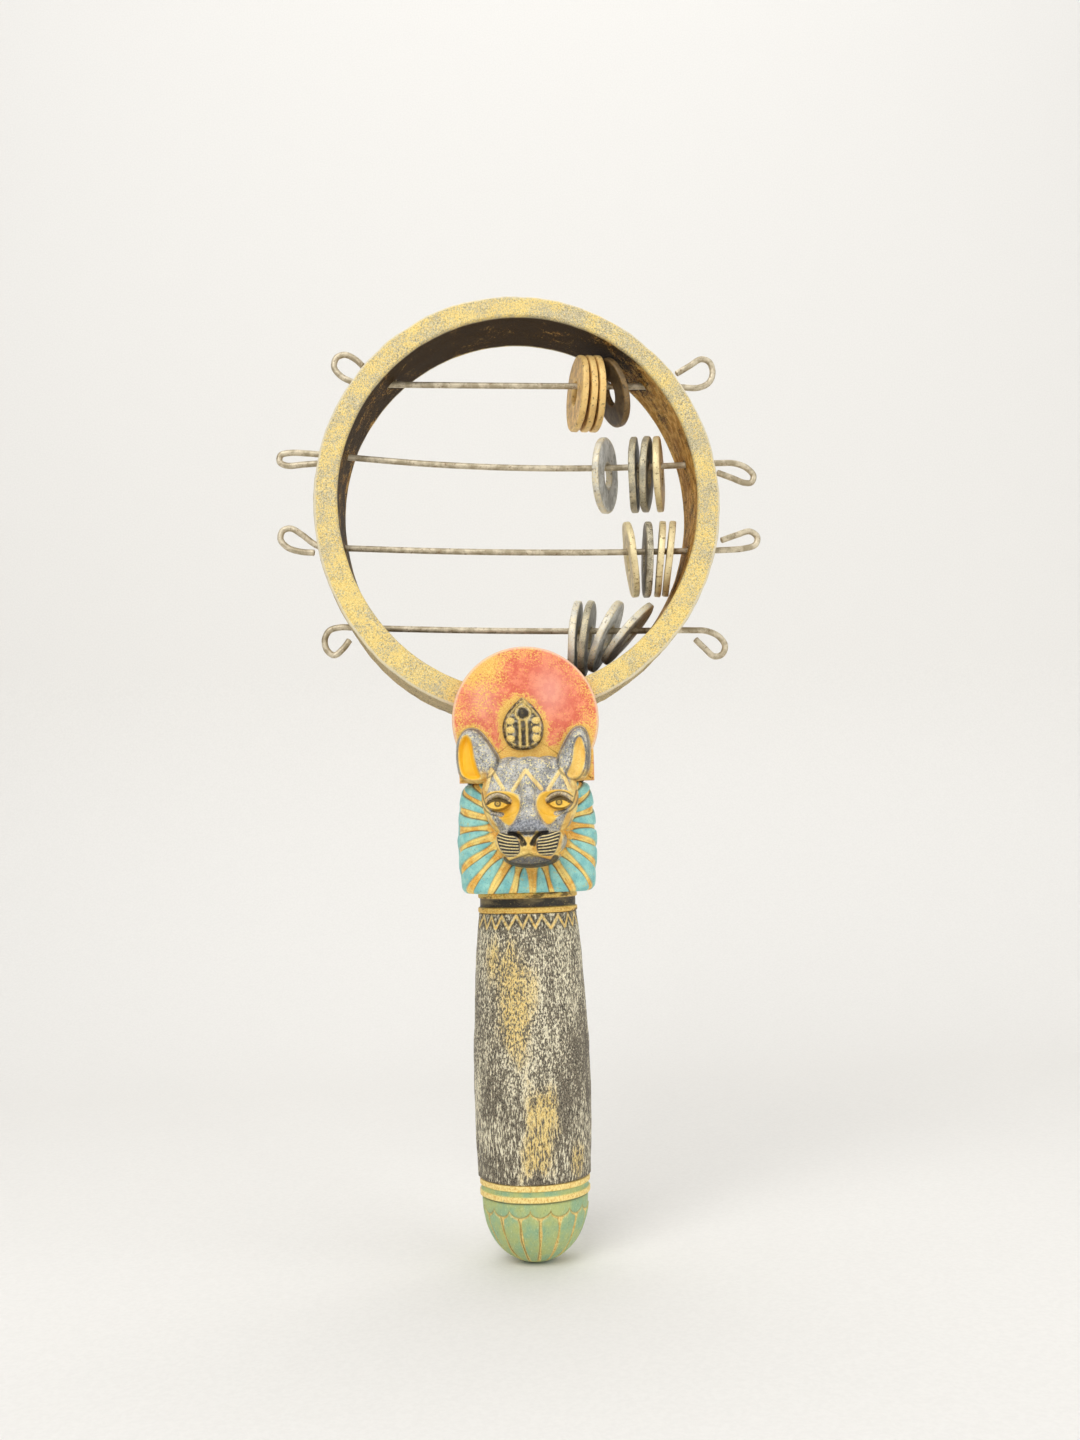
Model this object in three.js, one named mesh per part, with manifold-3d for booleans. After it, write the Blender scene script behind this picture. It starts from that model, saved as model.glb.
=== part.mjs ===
import * as THREE from 'three';
import { ConvexGeometry } from 'three/addons/geometries/ConvexGeometry.js';
import { mergeVertices } from 'three/addons/utils/BufferGeometryUtils.js';
import Module from 'manifold-3d';

// A hand sistrum: a rounded hoop crossed by four wires of loose metal discs, standing on a lioness head
// with a turned handle. Millimetres, +Z up the handle, +X to the right, and the face looks along -Y.
// Heights are worked out from the tip of the pommel, and the finished group is then lowered so that its
// origin is in the middle of the grip.

// Fits: the glue line between pieces that rest on each other, and the least air round pieces that move.
const SEAT_GAP = 0.2;
const RUNNING_GAP = 0.3;
const WALL_GAPS = [1.8, 0.6, 0.6, 2.1]; // air along X between each row's discs and the hoop, more where its wall slopes

// Handle, which is oval: widths run along X, and HANDLE_DEPTH is the grip's depth where it is widest.
const POMMEL_HEIGHT = 25.5;
const POMMEL_WIDTH = 33.6;
const POMMEL_BAND = 1.7; // height of each of the two raised bands round its top
const POMMEL_GROOVE = 1.5; // height of the groove between them
const GRIP_LENGTH = 79.5;
const GRIP_FOOT_WIDTH = 34.2;
const GRIP_BELLY_WIDTH = 36.0;
const GRIP_BELLY_RISE = 26.0; // from the grip's foot to its widest place
const GRIP_SHOULDER_WIDTH = 33.9;
const GRIP_SHOULDER_DROP = 20.7; // from the grip's top down to where it starts to draw in
const GRIP_NECK_WIDTH = 30.4;
const HANDLE_DEPTH = 30.6;
const COLLAR_HEIGHT = 6.2;
const COLLAR_WIDTH = 31.0;
const COLLAR_BAND = 1.7; // height of its lower and upper raised rings
const RELIEF = 0.6; // how far raised bands stand out

// The long tie rod that holds the stack together, from the pommel to the inside of the hoop.
const TIE_DIAMETER = 6.0;
const TIE_HEAD_DIAMETER = 13.0;
const TIE_HEAD_HEIGHT = 2.6;
const TIE_BLIND_DEPTH = 14.0; // how deep it enters the pommel

// Mane: the striped hair round the face and the back of the head.
const MANE_WIDTH = 42.8;
const MANE_HEIGHT = 33.0;
const MANE_BACK_DEPTH = 17.0; // behind the tie rod
const MANE_CORNER = 6.0; // rounding of its front upright edges
const MANE_EDGE = 3.5; // rounding of its top and bottom edges
const MANE_GROOVES = 21; // grooves between its strands, fanned out round the muzzle
const MANE_FAN_DEG = 268; // angle between the first groove and the last
const MANE_FAN_LEVEL = 20.0; // height of the fan's middle above the mane's foot
const MANE_FAN_RADIUS = 6.0; // where the grooves begin, under the face

// Face: a mask of swelling forms on the front of the mane. Each form is [half width, half depth, half
// height, out from the face's middle, forward of the mask's back, height above the mane's foot], and a form
// that stands out from the middle is there on both sides.
const FACE_SHIFT = 0.7; // how far the face's middle is to the right of the handle's axis
const FACE_FORMS = {
    brow: [9.1, 7.4, 12.0, 5.4, 0, 28.7],
    cheeks: [11.6, 9.4, 11.4, 0, 0, 21.4],
    noseBridge: [2.7, 3.0, 3.4, 0, 6.2, 32.6],
    noseWing: [2.3, 2.9, 2.2, 3.8, 11.6, 19.9],
    pad: [5.5, 5.6, 4.5, 4.3, 8.4, 15.6],
    chin: [6.2, 5.0, 3.2, 0, 6.8, 11.2],
    ear: [3.5, 2.8, 7.8, 15.8, 2.6, 41.8],
    earRoot: [3.4, 3.4, 4.2, 9.6, 2.6, 36.0],
    earHollow: [2.4, 2.6, 5.8, 16.6, 5.6, 41.0],
    socket: [4.7, 1.8, 2.9, 9.0, 7.4, 26.5],
    eyeball: [3.6, 1.6, 1.7, 9.0, 5.9, 26.5],
};

// Sun disc: an upright plate in front of the hoop's foot, with a pointed oval ornament on it.
const SUN_DIAMETER = 44.4;
const SUN_RISE = 18.8; // from the top of the mane to the middle of its round top
const SUN_BASE_WIDTH = 40.6;
const SUN_THICKNESS = 5.2;
const ORNAMENT_WIDTH = 11.8;
const ORNAMENT_HEIGHT = 15.6;
const ORNAMENT_THICKNESS = 2.8;
const ORNAMENT_DROP = 1.6; // from the middle of the sun disc down to the ornament's middle
const ORNAMENT_SHIFT = -0.9;

// Hoop: each outline is two half ellipses that meet at its widest level. topDrift and footDrift are how far
// its top and its foot are drawn to the right of the middle. The inner outline lies inside the outer one by
// the walls below, and rise is how far its widest level is above the outer one's.
const HOOP_SEAT_HEIGHT = 20.5; // the saddle between the mane and the hoop
const HOOP_SEAT_WIDTH = 36.0;
const HOOP_SEAT_CORNER = 5.0;
const HOOP_OUTER = { x: -0.2, half: 63.6, up: 67.0, down: 67.8, topDrift: 0.1, footDrift: -1.7 };
const HOOP_INNER = { x: 0.0, rise: 1.5, topDrift: 1.1, footDrift: -0.9 };
const HOOP_SIDE_WALL = 7.2;
const HOOP_TOP_WALL = 6.9;
const HOOP_FOOT_WALL = 7.8;
const HOOP_TOP_DEPTH = 25.0;
const HOOP_FOOT_DEPTH = 31.0;
const ROUND_STEPS = 36; // straight pieces in each half of the hoop's outline

// Wires. left and right are the heights of the two holes above the hoop's foot, and sag is how far the
// wire bows down between them. A loop's points run [outwards, up] from where the wire leaves the hoop,
// and end at the wire's cut end.
const WIRE_DIAMETER = 2.0;
const WIRES = [
    {
        name: 'wire_1',
        left: 110.4,
        right: 109.1,
        sag: 0.1,
        leftLoop: [[3.4, 0.9], [7.0, 2.9], [9.0, 5.8], [8.2, 8.9], [5.4, 9.9], [2.2, 8.4], [-0.4, 5.9]],
        rightLoop: [[5.4, -0.3], [10.6, -0.5], [14.2, 1.2], [15.6, 4.6], [14.6, 8.2], [12.0, 9.2], [7.8, 6.8], [3.4, 4.2]],
    },
    {
        name: 'wire_2',
        left: 86.3,
        right: 82.5,
        sag: 2.2,
        leftLoop: [[5.2, 0.5], [11.2, 0.8], [14.3, 0.0], [14.6, -2.2], [12.4, -3.4], [7.0, -3.1], [2.3, -2.8]],
        rightLoop: [[4.8, 0.2], [9.8, 0.0], [13.6, -1.6], [15.7, -4.2], [14.9, -6.4], [12.6, -6.5], [8.4, -4.8], [3.6, -2.9]],
    },
    {
        name: 'wire_3',
        left: 56.5,
        right: 53.9,
        sag: 0.9,
        leftLoop: [[2.6, 1.3], [6.2, 4.2], [9.6, 6.2], [12.2, 5.5], [12.9, 2.7], [10.6, 0.0], [6.4, -1.4], [2.1, -1.8]],
        rightLoop: [[5.6, 0.1], [11.4, 0.5], [15.2, 1.7], [15.9, 4.2], [13.6, 6.1], [9.2, 5.0], [3.9, 3.2]],
    },
    {
        name: 'wire_4',
        left: 30.3,
        right: 28.0,
        sag: 0.45,
        leftLoop: [[3.6, 0.1], [7.0, -0.9], [8.5, -3.8], [7.8, -7.2], [5.5, -8.8], [2.8, -6.8], [0.6, -3.9]],
        rightLoop: [[4.6, -0.1], [9.2, -0.4], [13.2, -2.3], [15.1, -5.4], [14.0, -8.1], [11.4, -8.7], [8.3, -5.9], [5.4, -2.9]],
    },
];
const WIRE_SIDES = 8; // an even number
const WIRE_STEPS = 2; // steps between one chosen point of a wire and the next

// Discs: flat washers that hang on the wires. In each row they are listed from left to right. lean tips the
// top to the right, yaw turns the left face forwards, and slack is the free wire on the disc's right.
const DISC_DIAMETER = 24.5;
const SMALL_DISC_DIAMETER = 22.5;
const DISC_HOLE = 7.9;
const DISC_THICKNESS = 2.1;
const DISC_CHAMFER = 0.35;
const DISC_SIDES = 26;
const RIM_STEPS = 72; // points tried round each rim where discs are set against each other and the hoop
const PLACE_STEP = 0.05; // how finely a disc's place on its wire is tried
const BRASS = 0xb98f4a;
const ZINC = 0x9a958c;
const ROWS = [
    [
        { lean: 3, yaw: 9, slack: 0.0 },
        { lean: 1, yaw: 8, slack: 0.0 },
        { lean: 0, yaw: 8, slack: 0.0 },
        { lean: -17, yaw: 13, slack: 0.0, diameter: SMALL_DISC_DIAMETER },
    ],
    [
        { lean: 4, yaw: -22, slack: 4.9 },
        { lean: 2, yaw: -12, slack: 0.7 },
        { lean: 5, yaw: -14, slack: 0.4 },
        { lean: 0, yaw: -13, slack: 3.4 },
    ],
    [
        { lean: -6, yaw: -3, slack: 1.2 },
        { lean: 2, yaw: -3, slack: 0.6 },
        { lean: 6, yaw: -7, slack: 0.0 },
        { lean: 8, yaw: -7, slack: 0.0 },
    ],
    [
        { lean: 7, yaw: -10, slack: 0.6 },
        { lean: 10, yaw: -11, slack: 0.0 },
        { lean: 26, yaw: -13, slack: 0.0 },
        { lean: 42, yaw: -9, slack: 0.0 },
    ],
];
const ROW_COLOURS = [BRASS, ZINC, 0xc9ad7a, ZINC];

// Heights and places that follow from the sizes above.
const gripFoot = POMMEL_HEIGHT + SEAT_GAP;
const gripTop = gripFoot + GRIP_LENGTH;
const gripMiddle = gripFoot + GRIP_LENGTH / 2;
const collarFoot = gripTop + SEAT_GAP;
const maneFoot = collarFoot + COLLAR_HEIGHT + SEAT_GAP;
const maneTop = maneFoot + MANE_HEIGHT;
const hoopFoot = maneTop + SEAT_GAP + HOOP_SEAT_HEIGHT;
const flattening = HANDLE_DEPTH / GRIP_BELLY_WIDTH;
const boreDiameter = TIE_DIAMETER + 2 * RUNNING_GAP;
const sunBack = -(HOOP_FOOT_DEPTH / 2 + SEAT_GAP);
const sunFront = sunBack - SUN_THICKNESS;
const faceBack = sunFront - SEAT_GAP;
const sunMiddle = maneTop + SEAT_GAP + SUN_RISE;

const outer = { ...HOOP_OUTER, middle: hoopFoot + HOOP_OUTER.down };
const inner = {
    ...HOOP_INNER,
    middle: outer.middle + HOOP_INNER.rise,
    half: outer.half - HOOP_SIDE_WALL,
    up: outer.up - HOOP_TOP_WALL - HOOP_INNER.rise,
    down: outer.down - HOOP_FOOT_WALL + HOOP_INNER.rise,
};

// Solids

const wasm = await Module();
wasm.setup();

function toSolid(geometry) {
    const bare = geometry.clone();
    bare.deleteAttribute('normal');
    bare.deleteAttribute('uv');
    const merged = mergeVertices(bare, 1e-4);
    return new wasm.Manifold(new wasm.Mesh({
        numProp: 3,
        vertProperties: new Float32Array(merged.attributes.position.array),
        triVerts: new Uint32Array(merged.index.array),
    }));
}

function toGeometry(solid) {
    const { vertProperties, triVerts } = solid.getMesh();
    const geometry = new THREE.BufferGeometry();
    geometry.setAttribute('position', new THREE.BufferAttribute(vertProperties, 3));
    geometry.setIndex(new THREE.BufferAttribute(triVerts, 1));
    geometry.computeVertexNormals();
    return geometry;
}

function cut(geometry, ...tools) {
    let solid = toSolid(geometry);
    for (const tool of tools) {
        solid = solid.subtract(toSolid(tool));
    }
    return toGeometry(solid);
}

function join(...geometries) {
    let solid = toSolid(geometries[0]);
    for (const geometry of geometries.slice(1)) {
        solid = solid.add(toSolid(geometry));
    }
    return solid;
}

// An upright cylinder between two heights on the handle's axis.
function post(diameter, low, high, sides = 24) {
    const geometry = new THREE.CylinderGeometry(diameter / 2, diameter / 2, high - low, sides);
    geometry.rotateX(Math.PI / 2);
    geometry.translate(0, 0, (low + high) / 2);
    return geometry;
}

function block(width, depth, height, x, y, z) {
    const geometry = new THREE.BoxGeometry(width, depth, height);
    geometry.translate(x, y, z);
    return geometry;
}

// One of the face's forms, on the side given by -1 or 1.
function swelling([halfWidth, halfDepth, halfHeight, out, forward, level], side = 1) {
    const geometry = new THREE.SphereGeometry(1, 16, 10);
    geometry.rotateX(Math.PI / 2);
    geometry.scale(halfWidth, halfDepth, halfHeight);
    geometry.translate(FACE_SHIFT + side * out, faceBack - forward, maneFoot + level);
    return geometry;
}

// The tightest skin round several forms.
function skin(...forms) {
    const points = [];
    for (const form of forms) {
        const position = form.attributes.position;
        for (let i = 0; i < position.count; i += 1) {
            points.push(new THREE.Vector3().fromBufferAttribute(position, i));
        }
    }
    return new ConvexGeometry(points);
}

// A turned form from [radius, height] pairs, flattened from front to back like the handle.
function turned(profile, sides = 32) {
    const geometry = new THREE.LatheGeometry(profile.map(([r, z]) => new THREE.Vector2(r, z)), sides);
    geometry.rotateX(Math.PI / 2);
    geometry.scale(1, flattening, 1);
    return geometry;
}

// A shape drawn in X and Z, given a depth from the plane at front towards the back.
function upright(shape, front, depth, options = {}) {
    const geometry = new THREE.ExtrudeGeometry(shape, { depth, bevelEnabled: false, ...options });
    geometry.rotateX(Math.PI / 2);
    geometry.translate(0, front + depth, 0);
    return geometry;
}

// Hoop outline

// The outline, moved outwards by grow, as a closed shape.
function ovalShape(oval, grow = 0) {
    const points = [];
    for (let i = 0; i < 2 * ROUND_STEPS; i += 1) {
        const angle = Math.PI * i / ROUND_STEPS;
        const rise = Math.sin(angle);
        const drift = (rise > 0 ? oval.topDrift : oval.footDrift) * rise ** 2;
        const x = oval.x + drift + (oval.half + grow) * Math.cos(angle);
        const reach = (rise > 0 ? oval.up : oval.down) + grow;
        points.push(new THREE.Vector2(x, oval.middle + reach * rise));
    }
    return new THREE.Shape(points);
}

// Where the outline crosses a height, on the side given by -1 or 1.
function wallX(oval, z, side, grow = 0) {
    const rise = z - oval.middle;
    const share = Math.min(1, Math.abs(rise) / ((rise > 0 ? oval.up : oval.down) + grow));
    const drift = (rise > 0 ? oval.topDrift : oval.footDrift) * share ** 2;
    return oval.x + drift + side * (oval.half + grow) * Math.sqrt(1 - share ** 2);
}

function hoopDepthAt(z) {
    const share = (z - hoopFoot) / (outer.up + outer.down);
    return HOOP_FOOT_DEPTH + share * (HOOP_TOP_DEPTH - HOOP_FOOT_DEPTH);
}

// Wires

function wireEnds(wire) {
    const ends = {};
    for (const [side, sign] of [['left', -1], ['right', 1]]) {
        const z = hoopFoot + wire[side];
        ends[side] = { z, outside: wallX(outer, z, sign), inside: wallX(inner, z, sign) };
    }
    return ends;
}

// The height of a wire's middle line: a straight line between its two holes, less a shallow bow.
function wireHeight(wire, x) {
    const { left, right } = wireEnds(wire);
    const share = (x - left.inside) / (right.inside - left.inside);
    return left.z + share * (right.z - left.z) - 4 * wire.sag * share * (1 - share);
}

function wireSlope(wire, x) {
    return wireHeight(wire, x + 0.5) - wireHeight(wire, x - 0.5);
}

// A curve that takes the same number of steps between any two of its points, so that bends get short ones.
class WirePath extends THREE.CatmullRomCurve3 {
    getUtoTmapping(u) {
        return u;
    }
}

function wirePoints(wire) {
    const { left, right } = wireEnds(wire);
    const at = (x) => new THREE.Vector3(x, 0, wireHeight(wire, x));
    const start = at(left.outside);
    const end = at(right.outside);
    const span = right.inside - left.inside;
    const leftLoop = wire.leftLoop.map(([out, up]) => new THREE.Vector3(start.x - out, 0, start.z + up));
    const rightLoop = wire.rightLoop.map(([out, up]) => new THREE.Vector3(end.x + out, 0, end.z + up));
    return [
        ...leftLoop.reverse(),
        start,
        at(left.inside),
        at(left.inside + span / 4),
        at(left.inside + span / 2),
        at(left.inside + 3 * span / 4),
        at(right.inside),
        end,
        ...rightLoop,
    ];
}

function wireGeometry(wire) {
    const points = wirePoints(wire);
    const section = new THREE.Shape();
    section.absarc(0, 0, WIRE_DIAMETER / 2, 0, 2 * Math.PI, false);
    return new THREE.ExtrudeGeometry(section, {
        curveSegments: WIRE_SIDES / 2,
        steps: (points.length - 1) * WIRE_STEPS,
        extrudePath: new WirePath(points, false, 'centripetal'),
        bevelEnabled: false,
    });
}

// The hole for a wire in one wall of the hoop, bored along the wire's own slope there.
function wireHole(wire, side, sign) {
    const { z } = wireEnds(wire)[side];
    const x = (wallX(outer, z, sign) + wallX(inner, z, sign)) / 2;
    const diameter = WIRE_DIAMETER + 2 * (RUNNING_GAP + SEAT_GAP);
    const length = 6 * HOOP_FOOT_WALL;
    const geometry = new THREE.CylinderGeometry(diameter / 2, diameter / 2, length, 12);
    geometry.rotateZ(Math.PI / 2);
    geometry.rotateY(-Math.atan(wireSlope(wire, x)));
    geometry.translate(x, 0, wireHeight(wire, x));
    return geometry;
}

// Discs

const halfDisc = DISC_THICKNESS / 2;

function discRadius(disc) {
    return (disc.diameter ?? DISC_DIAMETER) / 2;
}

function discTurn({ lean, yaw }) {
    return new THREE.Euler(0, THREE.MathUtils.degToRad(lean), THREE.MathUtils.degToRad(yaw), 'ZYX');
}

// How far a disc's middle hangs below the middle of its wire, with the wire at the top of its hole.
function discDrop(disc) {
    const lean = Math.abs(THREE.MathUtils.degToRad(disc.lean));
    const clear = WIRE_DIAMETER / 2 + RUNNING_GAP;
    return DISC_HOLE / 2 * Math.cos(lean) - halfDisc * Math.sin(lean) - clear;
}

// Points of both rims of a disc whose middle is at the given point.
function rimPoints(disc, middle) {
    const turn = discTurn(disc);
    const r = discRadius(disc);
    const points = [];
    for (let step = 0; step < RIM_STEPS; step += 1) {
        const angle = 2 * Math.PI * step / RIM_STEPS;
        for (const face of [-halfDisc, halfDisc]) {
            const point = new THREE.Vector3(face, r * Math.cos(angle), r * Math.sin(angle));
            points.push(point.applyEuler(turn).add(middle));
        }
    }
    return points;
}

// How far a point is from a disc, as if the disc had no hole, and below zero inside it.
function standOff(point, disc, middle) {
    const axis = new THREE.Vector3(1, 0, 0).applyEuler(discTurn(disc));
    const offset = point.clone().sub(middle);
    const along = offset.dot(axis);
    const offFace = Math.abs(along) - halfDisc;
    const offRim = Math.sqrt(Math.max(0, offset.lengthSq() - along ** 2)) - discRadius(disc);
    return offFace > 0 && offRim > 0 ? Math.hypot(offFace, offRim) : Math.max(offFace, offRim);
}

// The least air between two discs, from rim to face or rim.
function discAir(disc, middle, next, nextMiddle) {
    return Math.min(
        ...rimPoints(disc, middle).map((point) => standOff(point, next, nextMiddle)),
        ...rimPoints(next, nextMiddle).map((point) => standOff(point, disc, middle)),
    );
}

// The least air between a disc and the inside of the hoop on its right, along X.
function wallAir(disc, middle) {
    return Math.min(...rimPoints(disc, middle).map((point) => wallX(inner, point.z, 1) - point.x));
}

// Places for one wire's discs, worked out from the right: each is stopped by the hoop or by its neighbour.
function discPlaces(wire, row, wallGap) {
    const places = [];
    for (let i = row.length - 1; i >= 0; i -= 1) {
        const at = (x) => new THREE.Vector3(x, 0, wireHeight(wire, x) - discDrop(row[i]));
        const free = (x) => wallAir(row[i], at(x)) >= wallGap
            && (places.length === 0 || discAir(row[i], at(x), row[i + 1], places[0]) >= RUNNING_GAP);
        let x = places.length === 0 ? inner.half : places[0].x - DISC_THICKNESS;
        while (!free(x)) {
            x -= PLACE_STEP;
        }
        places.unshift(at(x - row[i].slack));
    }
    return places;
}

function discGeometry(disc) {
    const r = discRadius(disc);
    const hole = DISC_HOLE / 2;
    const c = DISC_CHAMFER;
    const h = halfDisc;
    const profile = [[hole, -h], [r - c, -h], [r, -h + c], [r, h - c], [r - c, h], [hole, h], [hole, -h]];
    const geometry = new THREE.LatheGeometry(profile.map(([a, b]) => new THREE.Vector2(a, b)), DISC_SIDES);
    geometry.rotateZ(-Math.PI / 2);
    return geometry;
}

// Pieces

const sistrum = new THREE.Group();
sistrum.name = 'sistrum';
sistrum.position.z = -gripMiddle;

function add(name, geometry, color, roughness, metalness = 0) {
    const mesh = new THREE.Mesh(geometry, new THREE.MeshStandardMaterial({ color, roughness, metalness }));
    mesh.name = name;
    sistrum.add(mesh);
    return mesh;
}

// Pommel: a closed lotus bud, with two raised bands round its top and a blind hole for the tie rod.
function pommelGeometry() {
    const r = POMMEL_WIDTH / 2;
    const h = POMMEL_HEIGHT;
    const bandFoot = h - 2 * POMMEL_BAND - POMMEL_GROOVE;
    const bud = new THREE.CubicBezierCurve(
        new THREE.Vector2(0, 0),
        new THREE.Vector2(0.5 * r, 0),
        new THREE.Vector2(0.97 * r, 0.36 * bandFoot),
        new THREE.Vector2(r - RELIEF, bandFoot),
    ).getPoints(9).map((p) => [p.x, p.y]);
    const top = [
        [r, bandFoot],
        [r, bandFoot + POMMEL_BAND],
        [r - RELIEF, bandFoot + POMMEL_BAND],
        [r - RELIEF, h - POMMEL_BAND],
        [r, h - POMMEL_BAND],
        [r, h],
        [0, h],
    ];
    return cut(turned([...bud, ...top]), post(boreDiameter, h - TIE_BLIND_DEPTH, h + 1));
}

// Grip: swells from the collar down to its belly and draws in a little above the pommel.
function gripGeometry() {
    const belly = gripFoot + GRIP_BELLY_RISE;
    const side = new THREE.SplineCurve([
        new THREE.Vector2(GRIP_FOOT_WIDTH / 2, gripFoot),
        new THREE.Vector2(GRIP_BELLY_WIDTH / 2, belly),
        new THREE.Vector2(GRIP_SHOULDER_WIDTH / 2, gripTop - GRIP_SHOULDER_DROP),
        new THREE.Vector2(GRIP_NECK_WIDTH / 2, gripTop),
    ]).getPoints(12).map((p) => [p.x, p.y]);
    return cut(turned([[0, gripFoot], ...side, [0, gripTop]]), post(boreDiameter, gripFoot - 1, gripTop + 1));
}

// Collar: a dark ring between two gold ones, under the mane.
function collarGeometry() {
    const r = COLLAR_WIDTH / 2;
    const low = collarFoot;
    const high = collarFoot + COLLAR_HEIGHT;
    const profile = [
        [0, low],
        [r, low],
        [r, low + COLLAR_BAND],
        [r - RELIEF, low + COLLAR_BAND],
        [r - RELIEF, high - COLLAR_BAND],
        [r, high - COLLAR_BAND],
        [r, high],
        [0, high],
    ];
    return cut(turned(profile), post(boreDiameter, low - 1, high + 1));
}

// Mane: flat and grooved in front, round behind, with softened top and bottom edges.
function maneGeometry() {
    const half = MANE_WIDTH / 2 - MANE_EDGE;
    const front = -sunFront - MANE_EDGE;
    const back = MANE_BACK_DEPTH - MANE_EDGE;
    const plan = new THREE.Shape();
    plan.moveTo(-half, 0);
    plan.lineTo(-half, -front + MANE_CORNER);
    plan.absarc(-half + MANE_CORNER, -front + MANE_CORNER, MANE_CORNER, Math.PI, 1.5 * Math.PI, false);
    plan.absarc(half - MANE_CORNER, -front + MANE_CORNER, MANE_CORNER, 1.5 * Math.PI, 2 * Math.PI, false);
    plan.lineTo(half, 0);
    plan.absellipse(0, 0, half, back, 0, Math.PI, false, 0);
    const geometry = new THREE.ExtrudeGeometry(plan, {
        depth: MANE_HEIGHT - 2 * MANE_EDGE,
        curveSegments: 8,
        bevelSize: MANE_EDGE,
        bevelThickness: MANE_EDGE,
        bevelSegments: 3,
    });
    geometry.translate(0, 0, maneFoot + MANE_EDGE);
    const grooves = [];
    for (let i = 0; i < MANE_GROOVES; i += 1) {
        const turn = MANE_FAN_DEG * (i / (MANE_GROOVES - 1) - 0.5);
        const groove = new THREE.CylinderGeometry(RELIEF, RELIEF, MANE_WIDTH, 4);
        groove.translate(0, -MANE_WIDTH / 2 - MANE_FAN_RADIUS, 0);
        groove.rotateX(Math.PI / 2);
        groove.rotateY(THREE.MathUtils.degToRad(turn));
        groove.translate(FACE_SHIFT, sunFront, maneFoot + MANE_FAN_LEVEL);
        grooves.push(groove);
    }
    return cut(geometry, post(boreDiameter, maneFoot - 1, maneTop + 1), ...grooves);
}

// Lioness head: brow, cheeks, nose, muzzle, chin and ears, cut flat behind where it meets mane and sun disc.
function headGeometry() {
    const form = FACE_FORMS;
    const both = (name) => [swelling(form[name], -1), swelling(form[name], 1)];
    const ears = [-1, 1].map((side) => skin(swelling(form.ear, side), swelling(form.earRoot, side)));
    const nose = skin(swelling(form.noseBridge), ...both('noseWing'));
    const skull = join(...both('brow'), swelling(form.cheeks), ...ears);
    const hollows = join(...both('socket'), ...both('earHollow'));
    const front = join(nose, ...both('pad'), swelling(form.chin), ...both('eyeball'));
    const behind = block(2 * MANE_WIDTH, MANE_WIDTH, 4 * MANE_HEIGHT, 0, faceBack + MANE_WIDTH / 2, maneTop);
    return toGeometry(skull.subtract(hollows).add(front).subtract(toSolid(behind)));
}

// Sun disc: round above, with straight sides below that stand on the mane.
function sunGeometry() {
    const r = SUN_DIAMETER / 2;
    const half = SUN_BASE_WIDTH / 2;
    const turn = Math.acos(half / r);
    const shape = new THREE.Shape();
    shape.moveTo(-half, maneTop + SEAT_GAP);
    shape.lineTo(half, maneTop + SEAT_GAP);
    shape.absarc(0, sunMiddle, r, -turn, Math.PI + turn, false);
    shape.closePath();
    return upright(shape, sunFront, SUN_THICKNESS, { curveSegments: 20 });
}

// Ornament on the sun disc: a pointed oval with sloping edges.
function ornamentGeometry() {
    const half = ORNAMENT_WIDTH / 2;
    const tall = ORNAMENT_HEIGHT / 2;
    const edge = ORNAMENT_THICKNESS / 3;
    const shape = new THREE.Shape();
    shape.moveTo(0, -tall + edge);
    shape.bezierCurveTo(half * 0.9, -tall + edge, half - edge, -tall * 0.3, half - edge, tall * 0.15);
    shape.bezierCurveTo(half - edge, tall * 0.6, half * 0.5, tall * 0.85, 0, tall - edge);
    shape.bezierCurveTo(-half * 0.5, tall * 0.85, edge - half, tall * 0.6, edge - half, tall * 0.15);
    shape.bezierCurveTo(edge - half, -tall * 0.3, -half * 0.9, -tall + edge, 0, -tall + edge);
    const geometry = new THREE.ExtrudeGeometry(shape, {
        depth: edge,
        curveSegments: 6,
        bevelSize: edge,
        bevelThickness: edge,
        bevelSegments: 2,
    });
    geometry.rotateX(Math.PI / 2);
    geometry.translate(ORNAMENT_SHIFT, sunFront - SEAT_GAP - edge, sunMiddle - ORNAMENT_DROP);
    return geometry;
}

// Hoop seat: the saddle behind the sun disc whose hollow top carries the hoop.
function seatGeometry() {
    const half = HOOP_SEAT_WIDTH / 2;
    const front = -HOOP_FOOT_DEPTH / 2;
    const back = HOOP_FOOT_DEPTH / 2;
    const corner = HOOP_SEAT_CORNER;
    const low = maneTop + SEAT_GAP;
    const high = hoopFoot + HOOP_FOOT_WALL;
    const plan = new THREE.Shape();
    plan.moveTo(-half, front);
    plan.lineTo(half, front);
    plan.absarc(half - corner, back - corner, corner, 0, Math.PI / 2, false);
    plan.absarc(-half + corner, back - corner, corner, Math.PI / 2, Math.PI, false);
    const body = new THREE.ExtrudeGeometry(plan, { depth: high - low, curveSegments: 6, bevelEnabled: false });
    body.translate(0, 0, low);
    const hollow = upright(ovalShape(outer, SEAT_GAP), 2 * front, 4 * back);
    return cut(body, hollow, post(boreDiameter, low - 1, high + 1));
}

// Hoop: a flat band that gets shallower towards the top, bored for the wires and the tie rod.
function hoopGeometry() {
    const shape = ovalShape(outer);
    shape.holes.push(ovalShape(inner));
    const band = upright(shape, -HOOP_FOOT_DEPTH / 2, HOOP_FOOT_DEPTH);
    const position = band.attributes.position;
    for (let i = 0; i < position.count; i += 1) {
        position.setY(i, position.getY(i) * hoopDepthAt(position.getZ(i)) / HOOP_FOOT_DEPTH);
    }
    const holes = WIRES.flatMap((wire) => [wireHole(wire, 'left', -1), wireHole(wire, 'right', 1)]);
    return cut(band, ...holes, post(boreDiameter, hoopFoot - 1, hoopFoot + 2 * HOOP_FOOT_WALL));
}

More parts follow.
